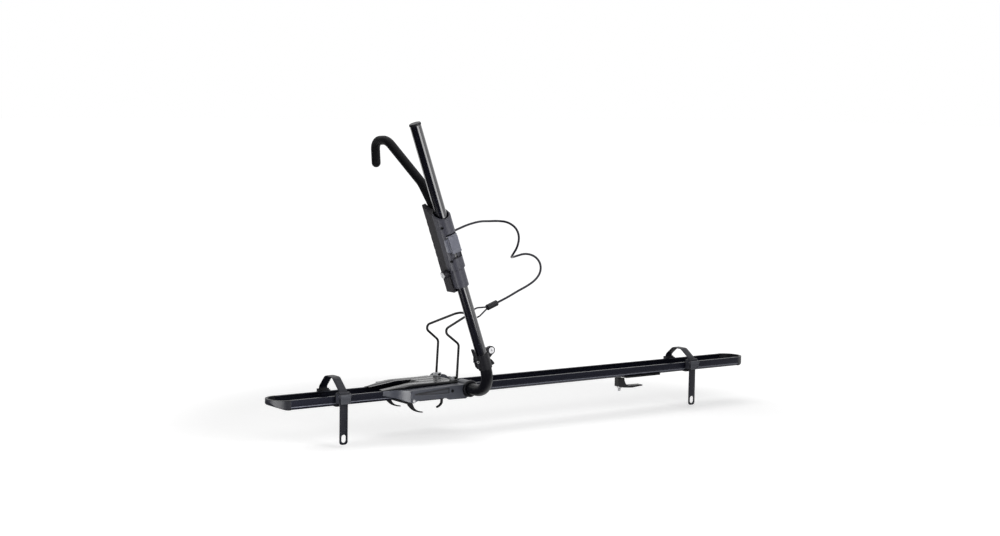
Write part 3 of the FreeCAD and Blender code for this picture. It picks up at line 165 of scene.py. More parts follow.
def set_inputs(node, **inputs):
    for name, term in inputs.items():
        feed(node.inputs[name.replace("_", " ")], term)
    return node


def add_node(tree, kind, **inputs):
    return set_inputs(tree.nodes.new(kind), **inputs)


def figure(tree, operation, *terms, kind="ShaderNodeMath"):
    """Value of one Math or Vector Math node."""
    node = tree.nodes.new(kind)
    node.operation = operation
    for socket, term in zip(node.inputs, terms):
        feed(socket, term)
    return node.outputs["Value"]


def map_range(tree, source, **inputs):
    return add_node(tree, "ShaderNodeMapRange", Value=source, **inputs).outputs["Result"]


def mix(tree, share, first, second, blend="MIX"):
    """Colour between two others."""
    node = tree.nodes.new("ShaderNodeMix")
    node.data_type, node.blend_type = "RGBA", blend
    for place, term in ((0, share), (6, first), (7, second)):
        feed(node.inputs[place], term)
    return node.outputs[2]


def own_place(tree):
    """Coordinates of the point on its own object, in metres."""
    return add_node(tree, "ShaderNodeTexCoord").outputs["Object"]


def seen_mask(tree):
    """1 for what the camera sees directly, mirrored or through glass, and 0 for light."""
    path = add_node(tree, "ShaderNodeLightPath").outputs
    seen = figure(tree, "MAXIMUM", path["Is Camera Ray"], path["Is Glossy Ray"])
    return figure(tree, "MAXIMUM", seen, path["Is Transmission Ray"])


# Materials

# Painted shade in creases: how far it looks for other surfaces, its samples, the openness at
# which it is darkest and at which it ends, and its darkest share
CREASE_SHADE_REACH, CREASE_SHADE_SAMPLES = 0.007, 6
CREASE_SHADE_SHUT, CREASE_SHADE_OPEN, CREASE_SHADE_DARKEST = 0.3, 0.85, 0.12
PATCH_SCALE = 40
GRAIN_DEPTH = 0.0002
BEVEL_SAMPLES = 6
COAT_ROUGHNESS, COAT_IOR = 0.08, 1.6
LEAST_ROUGHNESS = 0.02

# Cosines of the bend at which an edge starts to turn pale and is fully pale, partly from wear
# and partly as a painted highlight; its pale colour is the paint's times a gain plus a lift
WEAR_HIGHLIGHT_FROM, WEAR_HIGHLIGHT_FULL = 0.99, 0.86
WEAR_HIGHLIGHT_GAIN, WEAR_HIGHLIGHT_LIFT = 2.2, 0.06


def layer_bump(material, height, strength, distance):
    """Lays a bump over whatever shapes the material's normal so far."""
    tree = material.node_tree
    normal = tree.nodes["Principled BSDF"].inputs["Normal"]
    bump = add_node(tree, "ShaderNodeBump", Strength=strength, Distance=distance,
                    Height=height, Normal=normal.links[0].from_socket)
    feed(normal, bump.outputs["Normal"])


def paint_crease_shade(tree, colour):
    """Painted shade: multiplies a colour by how open the surface is, so grooves and seams are
    darkened as if shaded.
    """
    crease = add_node(tree, "ShaderNodeAmbientOcclusion", Distance=CREASE_SHADE_REACH)
    crease.samples = CREASE_SHADE_SAMPLES
    share = map_range(tree, crease.outputs["AO"], From_Min=CREASE_SHADE_SHUT, From_Max=CREASE_SHADE_OPEN,
                      To_Min=CREASE_SHADE_DARKEST)
    return mix(tree, 1.0, colour, share, blend="MULTIPLY")


def paint_wear_and_highlight_edges(tree, tone, colour, rounded, patches, wear_and_highlight):
    """Mixes a paler colour in where an edge bends, in patches: partly wear and partly a painted
    highlight along the edge.
    """
    flat = add_node(tree, "ShaderNodeNewGeometry").outputs["Normal"]
    bend = figure(tree, "DOT_PRODUCT", flat, rounded, kind="ShaderNodeVectorMath")
    worn_and_lit = map_range(tree, bend, From_Min=WEAR_HIGHLIGHT_FROM, From_Max=WEAR_HIGHLIGHT_FULL, To_Min=0.0,
                     To_Max=wear_and_highlight)
    bare_and_lit = [min(1, c * WEAR_HIGHLIGHT_GAIN + WEAR_HIGHLIGHT_LIFT) for c in colour]
    return mix(tree, figure(tree, "MULTIPLY", worn_and_lit, patches), tone, (*bare_and_lit, 1))


def finish_material(name, colour, rough, metal=0.0, grain=0.15, grain_size=0.6, tint=0.12,
                    edge=0.5, wear_and_highlight=0.0, coat=0.0, spread=0.08, stretch=(1, 1, 1), shine=0.3):
    """Moulded, painted or metal surface: fine grain, soft patches of tone, rounded edges,
    painted shade in its creases and, where asked, pale edges that are partly wear and partly
    painted highlight.

    The grain's size and the edges' radius are in millimetres; stretch draws the grain out.
    """
    made = bpy.data.materials.new(name)
    made.use_nodes = True
    made.diffuse_color = (*colour, 1)
    tree = made.node_tree
    shader = tree.nodes["Principled BSDF"]
    set_inputs(shader, Metallic=metal, Specular_IOR_Level=shine)
    if coat:
        set_inputs(shader, Coat_Weight=coat, Coat_Roughness=COAT_ROUGHNESS, Coat_IOR=COAT_IOR)

    place = own_place(tree)
    stretched = add_node(tree, "ShaderNodeMapping", Vector=place, Scale=stretch)
    patches = add_node(tree, "ShaderNodeTexNoise", Vector=place, Scale=PATCH_SCALE, Detail=5.0,
                       Roughness=0.6).outputs["Fac"]
    speck = add_node(tree, "ShaderNodeTexNoise", Vector=stretched.outputs["Vector"],
                     Scale=1000 / grain_size, Detail=3.0).outputs["Fac"]
    bevel = add_node(tree, "ShaderNodeBevel", Radius=edge / 1000)
    bevel.samples = BEVEL_SAMPLES
    rounded = bevel.outputs["Normal"]

    darker = [c * (1 - tint) for c in colour]
    lighter = [min(1, c * (1 + tint)) for c in colour]
    tone = mix(tree, patches, (*darker, 1), (*lighter, 1))
    # Pale edges, partly wear and partly painted highlight
    if wear_and_highlight:
        tone = paint_wear_and_highlight_edges(tree, tone, colour, rounded, patches, wear_and_highlight)
    gloss = map_range(tree, speck, To_Min=max(LEAST_ROUGHNESS, rough - spread),
                      To_Max=min(1.0, rough + spread))
    # The base colour carries painted shade in its creases
    set_inputs(shader, Base_Color=paint_crease_shade(tree, tone), Roughness=gloss, Normal=rounded)
    layer_bump(made, speck, grain, GRAIN_DEPTH)
    return made


# A wave texture of scale 1 repeats after this many millimetres
BAND_SPACING = 100 * math.pi


def add_bands(material, axis, pitch, depth, strength, **unevenness):
    """Rings of a thread, or shallow waves that a gloss surface shows as streaks.

    They lie across one axis; pitch and depth are in millimetres.
    """
    tree = material.node_tree
    bands = add_node(tree, "ShaderNodeTexWave", Vector=own_place(tree),
                     Scale=BAND_SPACING / pitch, **unevenness)
    bands.bands_direction = axis
    layer_bump(material, bands.outputs["Fac"], strength, depth / 1000)


def recolour(material, share, colour):
    """Mixes another colour in where the share is above nothing."""
    tree = material.node_tree
    base = tree.nodes["Principled BSDF"].inputs["Base Color"]
    feed(base, mix(tree, share, base.links[0].from_socket, (*colour, 1)))


def part_place(tree):
    """The three coordinates of the point on the part, in metres."""
    split = add_node(tree, "ShaderNodeSeparateXYZ", Vector=own_place(tree))
    return split.outputs["X"], split.outputs["Y"], split.outputs["Z"]


# The recess in the housing's cheeks, in metres: its ends, the cheek's face that its floor lies
# behind, and the height and slope of its two edges
RECESS_FRONT, RECESS_REAR, RECESS_FACE = -0.057, 0.053, 0.0895
RECESS_TOP, RECESS_RISE = 0.0242, 0.0708
RECESS_LOW, RECESS_FALL = 0.0196, 0.0255
RECESS_MARGIN = 0.0005
RECESS_SHADE = (0.003, 0.003, 0.006)

# Distances from the edge over which its shadow fades, and how strong the shadow is
TOP_SHADOW = {"From_Min": 0.0042, "From_Max": 0.006, "To_Min": 0.96, "To_Max": 0.0}
LOW_SHADOW = {"From_Min": 0.0012, "From_Max": 0.0022, "To_Min": 0.85, "To_Max": 0.0}


def shade_recess(material):
    """Shadow that the recess's edges cast on its floor."""
    tree = material.node_tree
    x, y, z = part_place(tree)
    along = figure(tree, "SUBTRACT", x, RECESS_FRONT)
    top = figure(tree, "MULTIPLY_ADD", along, RECESS_RISE, RECESS_TOP)
    low = figure(tree, "MULTIPLY_ADD", along, -RECESS_FALL, RECESS_LOW)
    under = figure(tree, "SUBTRACT", top, z)
    over = figure(tree, "SUBTRACT", z, low)
    inside = figure(tree, "LESS_THAN", figure(tree, "ABSOLUTE", y), RECESS_FACE)
    for measure, side, limit in ((along, "GREATER_THAN", 0.0), (x, "LESS_THAN", RECESS_REAR),
                                 (under, "GREATER_THAN", -RECESS_MARGIN),
                                 (over, "GREATER_THAN", -RECESS_MARGIN)):
        inside = figure(tree, "MULTIPLY", inside, figure(tree, side, measure, limit))
    shadow = figure(tree, "MAXIMUM", map_range(tree, under, **TOP_SHADOW),
                    map_range(tree, over, **LOW_SHADOW))
    recolour(material, figure(tree, "MULTIPLY", inside, shadow), RECESS_SHADE)


# Painted highlight along the step in the extrusion's walls, in metres: its height, half its
# width, and how far out the outside of the walls begins
TRAY_HIGHLIGHT_HEIGHT, TRAY_HIGHLIGHT_HALF, TRAY_FACE = 0.0112, 0.0011, 0.0444
TRAY_HIGHLIGHT_COLOUR = (0.16, 0.165, 0.2)


def paint_tray_step_highlight(material):
    """Painted highlight: a bright line along the step on the outside of the extrusion's walls.
    """
    tree = material.node_tree
    _, y, z = part_place(tree)
    off = figure(tree, "ABSOLUTE", figure(tree, "SUBTRACT", z, TRAY_HIGHLIGHT_HEIGHT))
    on_highlight = figure(tree, "LESS_THAN", off, TRAY_HIGHLIGHT_HALF)
    outside = figure(tree, "GREATER_THAN", figure(tree, "ABSOLUTE", y), TRAY_FACE)
    recolour(material, figure(tree, "MULTIPLY", on_highlight, outside), TRAY_HIGHLIGHT_COLOUR)


# Each slot's material: name, colour, roughness and what differs from the usual finish
FINISHES = {
    "tray": ("tray_anodised", (0.008, 0.009, 0.018), 0.28,
             dict(metal=0.4, grain=0.1, grain_size=0.5, stretch=(0.06, 1, 1), wear_and_highlight=1.0,
                  tint=0.1, edge=0.9, shine=0.4)),
    "end_cap": ("end_cap_plastic", (0.010, 0.0105, 0.014), 0.42, dict(grain=0.3, edge=0.9)),
    "housing": ("housing_plastic", (0.04, 0.044, 0.061), 0.4,
                dict(grain=0.2, edge=1.2, tint=0.07, wear_and_highlight=0.15, shine=0.9)),
    "steel_plate": ("black_zinc", (0.012, 0.012, 0.014), 0.38,
                    dict(metal=0.25, grain=0.2, grain_size=1.2, wear_and_highlight=0.35, edge=0.6,
                         shine=0.4)),
    "pad": ("pad_rubber", (0.012, 0.012, 0.013), 0.75,
            dict(grain=0.5, grain_size=0.9, shine=0.2)),
    "fastener": ("zinc_screw", (0.45, 0.45, 0.46), 0.3, dict(metal=1.0, grain=0.1)),
    "black_screw": ("blackened_screw", (0.012, 0.012, 0.014), 0.35,
                    dict(metal=0.4, grain=0.1)),
    "bright_pin": ("bright_pin", (0.85, 0.85, 0.87), 0.2, dict(metal=0.4, grain=0.05)),
    "cradle": ("cradle_gloss", (0.003, 0.003, 0.005), 0.16,
               dict(grain=0.03, edge=2.2, spread=0.03, shine=0.15)),
    "bracket": ("bracket_steel", (0.7, 0.71, 0.73), 0.26,
                dict(metal=0.6, grain=0.1, edge=0.8)),
    "wire": ("wire_coating", (0.006, 0.006, 0.007), 0.35, dict(grain_size=1.5)),
    "flange": ("flange_plastic", (0.012, 0.012, 0.016), 0.3, dict(grain=0.12, edge=0.8)),
    "bush": ("bush_plastic", (0.05, 0.05, 0.05), 0.5, {}),
    "arm": ("tube_paint", (0.0035, 0.0035, 0.008), 0.16,
            dict(grain=0.02, grain_size=3, edge=0.6, spread=0.02, tint=0.2, coat=1.0,
                 shine=0.8)),
    "elbow": ("elbow_paint", (0.0045, 0.0045, 0.007), 0.4,
              dict(grain=0.3, grain_size=0.9, edge=0.8, shine=0.25)),
    "collar": ("collar_plastic", (0.010, 0.010, 0.013), 0.42, dict(grain=0.25, edge=0.9)),
    "lock": ("lock_face", (0.85, 0.85, 0.87), 0.25, dict(metal=0.3, grain=0.08, edge=0.9)),
    "slider": ("slider_plastic", (0.019, 0.017, 0.022), 0.48,
               dict(grain=0.35, grain_size=0.7, edge=1.8, tint=0.08)),
    # The slider's near shell: a lighter copy of the slider's plastic, painted lighter for the
    # light that falls on it
    "near_shell": ("near_shell_painted_lighter", (0.058, 0.058, 0.074), 0.36,
                   dict(grain=0.3, grain_size=0.7, edge=1.8, tint=0.08)),
    "lever": ("lever_plastic", (0.13, 0.135, 0.17), 0.3, dict(grain=0.2, edge=1.2, shine=0.4)),
    "hook_core": ("hook_paint", (0.006, 0.006, 0.008), 0.3, dict(grain=0.1)),
    "hook_cover": ("hook_rubber", (0.0045, 0.0045, 0.006), 0.6,
                   dict(grain=0.6, grain_size=0.8, shine=0.18)),
    "cable": ("cable_cover", (0.006, 0.006, 0.014), 0.3, dict(grain=0.12, shine=0.4)),
    "cable_fitting": ("fitting_plastic", (0.008, 0.008, 0.011), 0.42,
                      dict(grain=0.3, edge=0.7)),
    "anchor": ("anchor_paint", (0.008, 0.008, 0.010), 0.4, {}),
    "knob": ("knob_plastic", (0.009, 0.009, 0.011), 0.5, dict(grain=0.35, edge=0.9)),
    "strap": ("strap_rubber", (0.0065, 0.007, 0.013), 0.4,
              dict(grain=0.3, grain_size=0.8, edge=0.3, shine=0.35)),
    "carrier": ("carrier_plastic", (0.012, 0.012, 0.016), 0.45, dict(grain=0.3, edge=0.7)),
    "buckle": ("buckle_plastic", (0.024, 0.025, 0.033), 0.42,
               dict(grain=0.3, edge=0.7, shine=0.4)),
    "buckle_lever": ("buckle_lever_plastic", (0.055, 0.058, 0.07), 0.4,
                     dict(grain=0.3, edge=0.7, shine=0.4)),
    "upright_bolt": ("bolt_thread", (0.42, 0.42, 0.43), 0.32, dict(metal=1.0)),
    "level_screw": ("screw_thread", (0.42, 0.42, 0.43), 0.32, dict(metal=1.0)),
}

# Nodes whose finish differs from that of their slot
# The slider's near shell takes a copy of the slider's plastic painted lighter, as painted light
OWN_FINISHES = {"arm_elbow": "elbow", "slider_near_shell": "near_shell",
                "rear_bolt": "upright_bolt", "clamp_screw": "level_screw"}

# Threads are drawn coarser than real ones, so that they show in the picture
THREAD = {"depth": 0.4, "strength": 0.9}
BOLT_PITCH, SCREW_PITCH = 2.4674, 1.9739
CRADLE_WAVES = {"pitch": 29.609, "depth": 1.7, "strength": 0.8, "Distortion": 1.5,
                "Detail": 1.0, "Detail_Scale": 0.6}


def make_materials():
    made = {slot: finish_material(name, colour, rough, **settings)
            for slot, (name, colour, rough, settings) in FINISHES.items()}
    # Painted highlight along the step of the tray's walls
    paint_tray_step_highlight(made["tray"])
    shade_recess(made["housing"])
    add_bands(made["cradle"], "Y", **CRADLE_WAVES)
    add_bands(made["upright_bolt"], "Z", BOLT_PITCH, **THREAD)
    add_bands(made["level_screw"], "X", SCREW_PITCH, **THREAD)
    return made


def dress_nodes(materials):
    slots = {part["node"]: part["material_slot"] for part in frame["record"]["subparts"]}
    for name, thing in NODES.items():
        set_material(thing, materials[OWN_FINISHES.get(name, slots[name])])


# Pieces swept along a bent line, in millimetres

def straight_run(start, end, step):
    """Places and headings from the start up to, but without, the end."""
    count = max(1, math.ceil((end - start).length / step))
    heading = (end - start).normalized()
    return [(start.lerp(end, i / count), heading) for i in range(count)]


def bent_line(points, bends, step):
    """Places and headings along straight runs joined by tangent arcs."""
    stations = []
    start = points[0]
    for before, corner, after, bend in zip(points, points[1:], points[2:], bends):
        back, ahead = (before - corner).normalized(), (after - corner).normalized()
        half_turn = (math.pi - back.angle(ahead)) / 2
        reach = bend * math.tan(half_turn)
        first = corner + back * reach
        centre = corner + (back + ahead).normalized() * (bend / math.cos(half_turn))
        axis = (-back).cross(ahead).normalized()
        stations += straight_run(start, first, step)
        count = max(3, math.ceil(2 * half_turn * bend / step))
        for i in range(count):
            spoke = Matrix.Rotation(2 * half_turn * i / count, 3, axis) @ (first - centre)
            stations.append((centre + spoke, axis.cross(spoke).normalized()))
        start = corner + ahead * reach
    stations += straight_run(start, points[-1], step)
    stations.append((points[-1], (points[-1] - start).normalized()))
    return stations


def sweep(name, stations, rings, normal, place_of):
    """Skin over one ring of (across, out) points at each station."""
    skin = bmesh.new()
    rows = []
    for (place, heading), ring in zip(stations, rings):
        normal = (normal - heading * normal.dot(heading)).normalized()
        across = heading.cross(normal)
        rows.append([skin.verts.new(place_of(place + across * a + normal * b))
                     for a, b in ring])
    return take_smooth_mesh(skin, skin_over(skin, rows), name)


# Wheel straps, in millimetres

STRAP_WIDTH, STRAP_THICKNESS = 25, 3
STRAP_TAIL, STRAP_CORNER = -97, 8
STRAP_RIM, STRAP_EDGE, STRAP_UNDERSIDE = 0.4, 0.8, 0.1
TOOTH_PITCH, TOOTH_GAP, TOOTH_DEPTH = 5, 1.2, 0.35
PLAIN_ABOVE_SLOT = 6

# Centre line as (across, up), where None stands for the height of the arch, and its bends
STRAP_LINE = [(50.2, 15), (50.2, 42), (20, None), (-16, None), (-53, 42), (-57, 28),
              (-57, STRAP_TAIL)]
STRAP_BENDS = [14, 18, 16, 16, 30]
STRAP_STEP = 1.2
TAIL_SIDE = -50

# The tail's slot: rounding of its corners, half the flat between two corners, its ends above
# the tail's end, and the span across which it is cut
SLOT_RADIUS, SLOT_FLAT = 6.5, 0.5
SLOT_LOW, SLOT_HIGH = 5.5, 26.5
SLOT_CUT = -70, -45
SLOT_ARC_STEP = 15


def strap_ring(half, toothed):
    """Section of the strap: thin rims and a raised middle, lower between two teeth.

    Its corners are written as shares of half the width and as heights in millimetres.
    """
    top = STRAP_THICKNESS / 2
    middle = top - (TOOTH_DEPTH if toothed else 0)
    rim, edge, bottom = top - STRAP_RIM, top - STRAP_EDGE, STRAP_UNDERSIDE - top
    right = [(0.35, middle), (0.70, middle), (0.76, rim), (0.91, rim), (0.975, edge),
             (1.0, 0), (0.975, -edge), (0.91, bottom), (0.5, bottom)]
    left = [(-share, height) for share, height in reversed(right)]
    return [(half * share, height) for share, height in left + right]


def strap_half(to_end):
    """Half the strap's width, drawn in by the rounded corners of its tail."""
    if to_end >= STRAP_CORNER:
        return STRAP_WIDTH / 2
    inset = STRAP_CORNER - to_end
    return STRAP_WIDTH / 2 - STRAP_CORNER + math.sqrt(max(0, STRAP_CORNER ** 2 - inset ** 2))


def tail_slot_mesh():
    """Body that cuts the slot, which is rounded at both ends."""
    hole = bmesh.new()
    low, high = STRAP_TAIL + SLOT_LOW + SLOT_RADIUS, STRAP_TAIL + SLOT_HIGH - SLOT_RADIUS
    rim = []
    for x, z, start in ((SLOT_FLAT, low, 270), (SLOT_FLAT, high, 0), (-SLOT_FLAT, high, 90),
                        (-SLOT_FLAT, low, 180)):
        for degrees in range(start, start + 91, SLOT_ARC_STEP):
            angle = math.radians(degrees)
            rim.append((x + SLOT_RADIUS * math.cos(angle), z + SLOT_RADIUS * math.sin(angle)))
    skin_over(hole, [[hole.verts.new((x / 1000, y / 1000, z / 1000)) for x, z in rim]
                     for y in SLOT_CUT])
    return take_mesh(hole, "tail_slot")


def add_strap(name, material):
    """Moulded rubber strap over the wheel, with teeth for the buckle and a slotted tail."""
    low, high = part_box(name)
    middle = (low[0] + high[0]) / 2
    arch = high[2] * 1000 - STRAP_THICKNESS / 2
    points = [Vector((0, y, arch if z is None else z)) for y, z in STRAP_LINE]
    stations = bent_line(points, STRAP_BENDS, STRAP_STEP)
    rings = []
    gone = 0
    for i, (place, _) in enumerate(stations):
        gone += (place - stations[i - 1][0]).length if i else 0
        toothed = (gone % TOOTH_PITCH < TOOTH_GAP
                   and place.z > STRAP_TAIL + SLOT_HIGH + PLAIN_ABOVE_SLOT)
        to_end = place.z - STRAP_TAIL if place.y < TAIL_SIDE else STRAP_CORNER
        rings.append(strap_ring(strap_half(to_end), toothed))
    mesh = sweep(name + "_band", stations, rings, Vector((0, 1, 0)), lambda p: p / 1000)
    strap = put_in_scene(name + "_band", mesh)
    subtract(strap, tail_slot_mesh())
    strap.data.transform(Matrix.Translation((middle, 0, 0)))
    set_material(strap, material)
    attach(strap, name)
    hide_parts(name)


# Hook's rubber cover, in millimetres on the arm: one sleeve from the slider to its round tip

HOOK_POINTS = [(4, -165, 493), (4, -165, 520), (4, -140, 592), (4, -31, 706), (0, 24, 704),
               (-8, 38, 644)]
HOOK_BENDS = [60, 50, 40, 32]
HOOK_STEP, HOOK_TURN = 2.5, 10
HOOK_RADIUS, HOOK_CORE, HOOK_BORE_DEPTH = 12, 8.1, 10


def add_hook_cover(material):
    line = bent_line([Vector(p) for p in HOOK_POINTS], HOOK_BENDS, HOOK_STEP)
    place, heading = line[0]
    stations = [(place + heading * HOOK_BORE_DEPTH, heading), (place, heading)] + line
    radii = [HOOK_CORE, HOOK_CORE] + [HOOK_RADIUS] * len(line)
    place, heading = line[-1]
    for degrees in range(HOOK_TURN, 90, HOOK_TURN):
        angle = math.radians(degrees)
        stations.append((place + heading * (HOOK_RADIUS * math.sin(angle)), heading))
        radii.append(HOOK_RADIUS * math.cos(angle))
    turns = [math.radians(degrees) for degrees in range(0, 360, HOOK_TURN)]
    rings = [[(radius * math.cos(turn), radius * math.sin(turn)) for turn in turns]
             for radius in radii]
    mesh = sweep("hook_cover", stations, rings, Vector((1, 0, 0)), lambda p: on_arm(*p))
    cover = put_in_scene("hook_cover", mesh)
    set_material(cover, material)
    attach(cover, "slider")
    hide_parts("hook_sleeve", "hook_tip")


# Arm tube, in millimetres on the arm: the solid's own size with a rounder mesh

TUBE_RADIUS, TUBE_BORE = 15, 13
TUBE_LOW, TUBE_HIGH = 92, 752
TUBE_SIDES = 96


def add_arm_tube(material):
    tube = bmesh.new()
    section = ((TUBE_RADIUS, TUBE_LOW), (TUBE_RADIUS, TUBE_HIGH), (TUBE_BORE, TUBE_HIGH),
               (TUBE_BORE, TUBE_LOW))
    rows = []
    for i in range(TUBE_SIDES):
        angle = 2 * math.pi * i / TUBE_SIDES
        rows.append([tube.verts.new(on_arm(radius * math.cos(angle),
                                           ARM_ACROSS + radius * math.sin(angle), up))
                     for radius, up in section])
    faces = join_rows(tube, rows + rows[:1])
    bmesh.ops.recalc_face_normals(tube, faces=faces)
    piece = put_in_scene("round_tube", take_smooth_mesh(tube, faces, "round_tube"))
    set_material(piece, material)
    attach(piece, "arm")
    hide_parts("arm_tube")


# Release lever: its own form with a curved plate that wraps the shell on both sides.
# The plate's radii and heights are in millimetres, and its reach and step in degrees.

LEVER_IN, LEVER_OUT = 23.7, 25.6
LEVER_LOW, LEVER_HIGH = 409, 452
LEVER_REACH, LEVER_STEP = 61, 6
LEVER_BOW, LEVER_BEVEL = 5, 1


def add_lever(material):
    lever = bmesh.new()
    lever.from_mesh(NODES["release_lever"].data)
    rows = []
    for degrees in range(-LEVER_REACH, LEVER_REACH + 1, LEVER_STEP):
        angle = math.radians(degrees)
        bow = LEVER_BOW * (degrees / LEVER_REACH) ** 2
        low, high = LEVER_LOW + bow, LEVER_HIGH - bow
        section = ((LEVER_IN, low), (LEVER_OUT, low + LEVER_BEVEL),
                   (LEVER_OUT, high - LEVER_BEVEL), (LEVER_IN, high))
        rows.append([lever.verts.new(on_arm(radius * math.sin(angle),
                                            ARM_ACROSS - radius * math.cos(angle), up))
                     for radius, up in section])
    mesh = take_smooth_mesh(lever, skin_over(lever, rows), "lever_plate")
    piece = put_in_scene("lever_with_plate", mesh)
    set_material(piece, material)
    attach(piece, "release_lever")
    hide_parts("release_lever")


# Rubber pads with grip ribs underneath, in metres

RIB_PITCH, RIB_GAP, RIB_DEPTH, RIB_OVERRUN = 0.006, 0.002, 0.0007, 0.01


def add_ribbed_pad(node, body, material):
    """The pad's own form with straight channels cut into its underside."""
    low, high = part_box(node)
    pad = put_in_scene(node + "_ribbed", NODES[node].data.copy())
    channels = bmesh.new()
    size = Matrix.Diagonal((high[0] - low[0] + RIB_OVERRUN, RIB_GAP, 2 * RIB_DEPTH, 1))
    y = low[1] + RIB_PITCH - RIB_GAP / 2
    while y < high[1] - RIB_GAP:
        place = Matrix.Translation(((low[0] + high[0]) / 2, y, low[2]))
        bmesh.ops.create_cube(channels, size=1, matrix=place @ size)
        y += RIB_PITCH
    subtract(pad, take_mesh(channels, node + "_channels"))
    set_material(pad, material)
    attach(pad, body)
    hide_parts(node)


# Cable: one smooth line through the same points as its solid, in millimetres

CABLE_POINTS = [
    (1.7, -165, 455.1), (36, -166, 468.5), (73, -160, 476.5), (109, -147, 479),
    (142, -133, 477), (170, -131, 477), (192, -147, 475), (204, -170, 461), (203, -188, 438),
    (196, -189, 410), (194, -170, 388), (206, -146, 378), (232, -132, 380), (262, -134, 387),
    (288, -142, 380), (303, -149, 361), (301, -154, 337), (282, -158, 317), (253, -160, 302),
    (219, -160.5, 289), (182.9, -160, 272.4), (145.2, -160, 258.9)]
CABLE_RADIUS = 3


def add_cable(material):
    data = bpy.data.curves.new("security_cable", "CURVE")
    data.dimensions = "3D"
    line = data.splines.new("NURBS")
    line.points.add(len(CABLE_POINTS) - 1)
    for point, (x, y, z) in zip(line.points, CABLE_POINTS):
        point.co = (x / 1000, y / 1000, z / 1000, 1)
    line.order_u = 3
    line.use_endpoint_u = True
    line.resolution_u = 12
    data.bevel_depth = CABLE_RADIUS / 1000
    data.bevel_resolution = 6
    cable = put_in_scene("security_cable", data)
    set_material(cable, material)
    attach(cable, "slider")
    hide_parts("cable")


# Stage, in metres

WHITE = (1, 1, 1, 1)
WORLD_LEVEL = 0.25

# The floor takes the full shadow up to SHADOW_NEAR from its middle and none from SHADOW_FAR on
FLOOR_PLACE, FLOOR_SIZE = (0.3, 0, FLOOR), 40
SHADOW_NEAR, SHADOW_FAR = 0.75, 1.2
PAPER_NEAR, PAPER_FAR = (0.8, 0.8, 0.8, 1), (0.3, 0.3, 0.3, 1)
PAPER_GLOW = 0.5

# The dark card lies on the floor from CARD_NEAR to CARD_FAR and stands up from there
CARD_MIDDLE = Vector((0.36, -0.05, 0))
CARD_NEAR, CARD_FAR = 0.25, 1.6
CARD_LIFT, CARD_HEIGHT = 0.002, 1.6
CARD_TURN, CARD_STEP = 100, 8
CARD_COLOUR = (0.02, 0.02, 0.02, 1)

ARM_MIDDLE = Vector((0.0, -0.195, 0.4))
PART_MIDDLE = Vector((0.2, 0, 0.15))
BOX_LIFT = Vector((0, 0, 0.15))

# Softboxes round the arm: degrees to the camera's right, distance, width, height and level
ARM_BOXES = {"tall_box": (42, 1.1, 0.66, 1.5, 3.6),
             "side_box": (84, 1.3, 0.9, 1.4, 1.0)}

# Other softboxes: place, target, width, height and level
BOXES = {"front_box": ((-0.66, -0.2, -0.06), (-0.08, -0.07, -0.06), 0.5, 0.14, 13),
         "top_box": ((0.5, 0.9, 2.6), PART_MIDDLE, 2.6, 1.4, 1.4),
         "fill_box": ((-2.4, -2.6, 2.2), PART_MIDDLE, 1.8, 1.2, 1.0)}


def add_light(name, where, target, width, height, level):
    """Softbox out of the camera's sight; its level is how bright its face looks."""
    data = bpy.data.lights.new(name, "AREA")
    data.shape = "RECTANGLE"
    data.size, data.size_y = width, height
    data.energy = level * math.pi * width * height
    lamp = put_in_scene(name, data)
    lamp.location = where
    lamp.rotation_euler = (Vector(target) - Vector(where)).to_track_quat("-Z", "Y").to_euler()
    lamp.visible_camera = False


def add_floor():
    """White paper: it takes the shadow near the object and is plain white further out."""
    grid = bmesh.new()
    bmesh.ops.create_grid(grid, x_segments=1, y_segments=1, size=FLOOR_SIZE)
    floor = put_in_scene("floor", take_mesh(grid, "floor"))
    floor.location = FLOOR_PLACE
    paper = bpy.data.materials.new("floor_paper")
    paper.use_nodes = True
    tree = paper.node_tree
    away = figure(tree, "LENGTH", own_place(tree), kind="ShaderNodeVectorMath")
    fade = add_node(tree, "ShaderNodeMapRange", Value=away, From_Min=SHADOW_NEAR,
                    From_Max=SHADOW_FAR)
    fade.interpolation_type = "SMOOTHSTEP"
    share = fade.outputs["Result"]
    glow = map_range(tree, share, To_Min=PAPER_GLOW, To_Max=1.0)
    set_inputs(tree.nodes["Principled BSDF"], Roughness=0.9, Specular_IOR_Level=0.0,
               Base_Color=mix(tree, share, PAPER_NEAR, PAPER_FAR), Emission_Color=WHITE,
               Emission_Strength=figure(tree, "MULTIPLY", seen_mask(tree), glow))
    set_material(floor, paper)


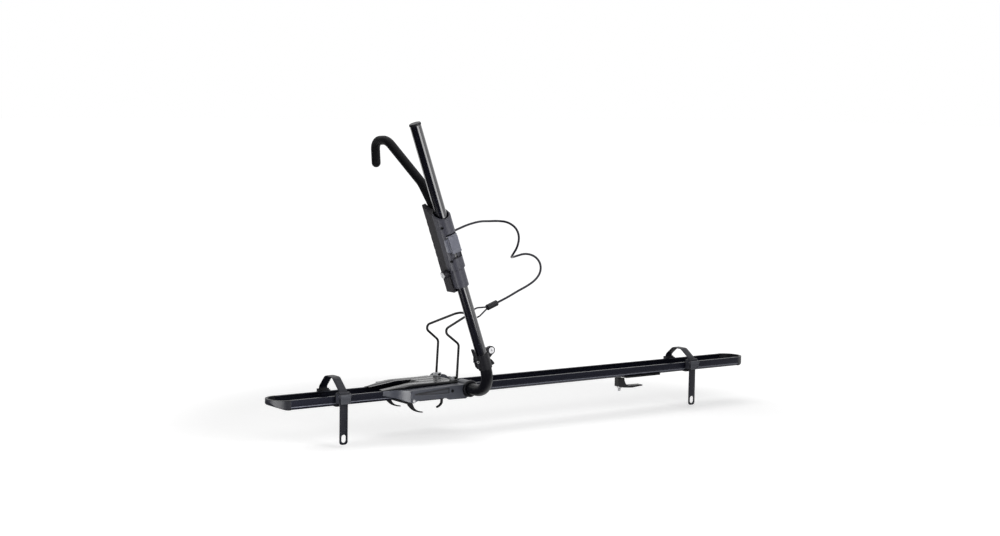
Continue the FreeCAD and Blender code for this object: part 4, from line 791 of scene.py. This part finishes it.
def add_world():
    """White where it is seen, and a low even light on the object."""
    world = bpy.data.worlds.new("studio")
    scene.world = world
    world.use_nodes = True
    tree = world.node_tree
    level = map_range(tree, seen_mask(tree), To_Min=WORLD_LEVEL, To_Max=1.0)
    set_inputs(tree.nodes["Background"], Color=WHITE, Strength=level)


def add_dark_card(towards):
    """Dark card before the object, seen in reflections only: it keeps black gloss dark."""
    card = bmesh.new()
    rows = []
    for degrees in range(-CARD_TURN, CARD_TURN + 1, CARD_STEP):
        way = Matrix.Rotation(math.radians(degrees), 3, "Z") @ towards
        row = []
        for reach, height in ((CARD_NEAR, CARD_LIFT), (CARD_FAR, CARD_LIFT),
                              (CARD_FAR, CARD_HEIGHT)):
            place = CARD_MIDDLE + way * reach
            row.append(card.verts.new((place.x, place.y, FLOOR + height)))
        rows.append(row)
    join_rows(card, rows, closed=False)
    dark = put_in_scene("dark_card", take_mesh(card, "dark_card"))
    dark.visible_camera = False
    dark.visible_diffuse = False
    dark.visible_shadow = False
    cloth = bpy.data.materials.new("dark_cloth")
    cloth.use_nodes = True
    set_inputs(cloth.node_tree.nodes["Principled BSDF"], Base_Color=CARD_COLOUR, Roughness=1.0)
    set_material(dark, cloth)


def add_stage(forward):
    towards = Vector((-forward.x, -forward.y, 0)).normalized()
    add_floor()
    add_world()
    add_dark_card(towards)
    for name, (degrees, distance, *size_and_level) in ARM_BOXES.items():
        way = Matrix.Rotation(math.radians(degrees), 3, "Z") @ towards
        add_light(name, ARM_MIDDLE + way * distance + BOX_LIFT, ARM_MIDDLE, *size_and_level)
    for name, settings in BOXES.items():
        add_light(name, *settings)


def main():
    forward = add_camera()
    materials = make_materials()
    dress_nodes(materials)
    add_strap("front_strap", materials["strap"])
    add_strap("rear_strap", materials["strap"])
    add_hook_cover(materials["hook_cover"])
    add_arm_tube(materials["arm"])
    add_lever(materials["lever"])
    add_ribbed_pad("saddle_pad", "base", materials["pad"])
    add_ribbed_pad("rear_pad", "rear_clamp", materials["pad"])
    add_cable(materials["cable"])
    add_stage(forward)


main()
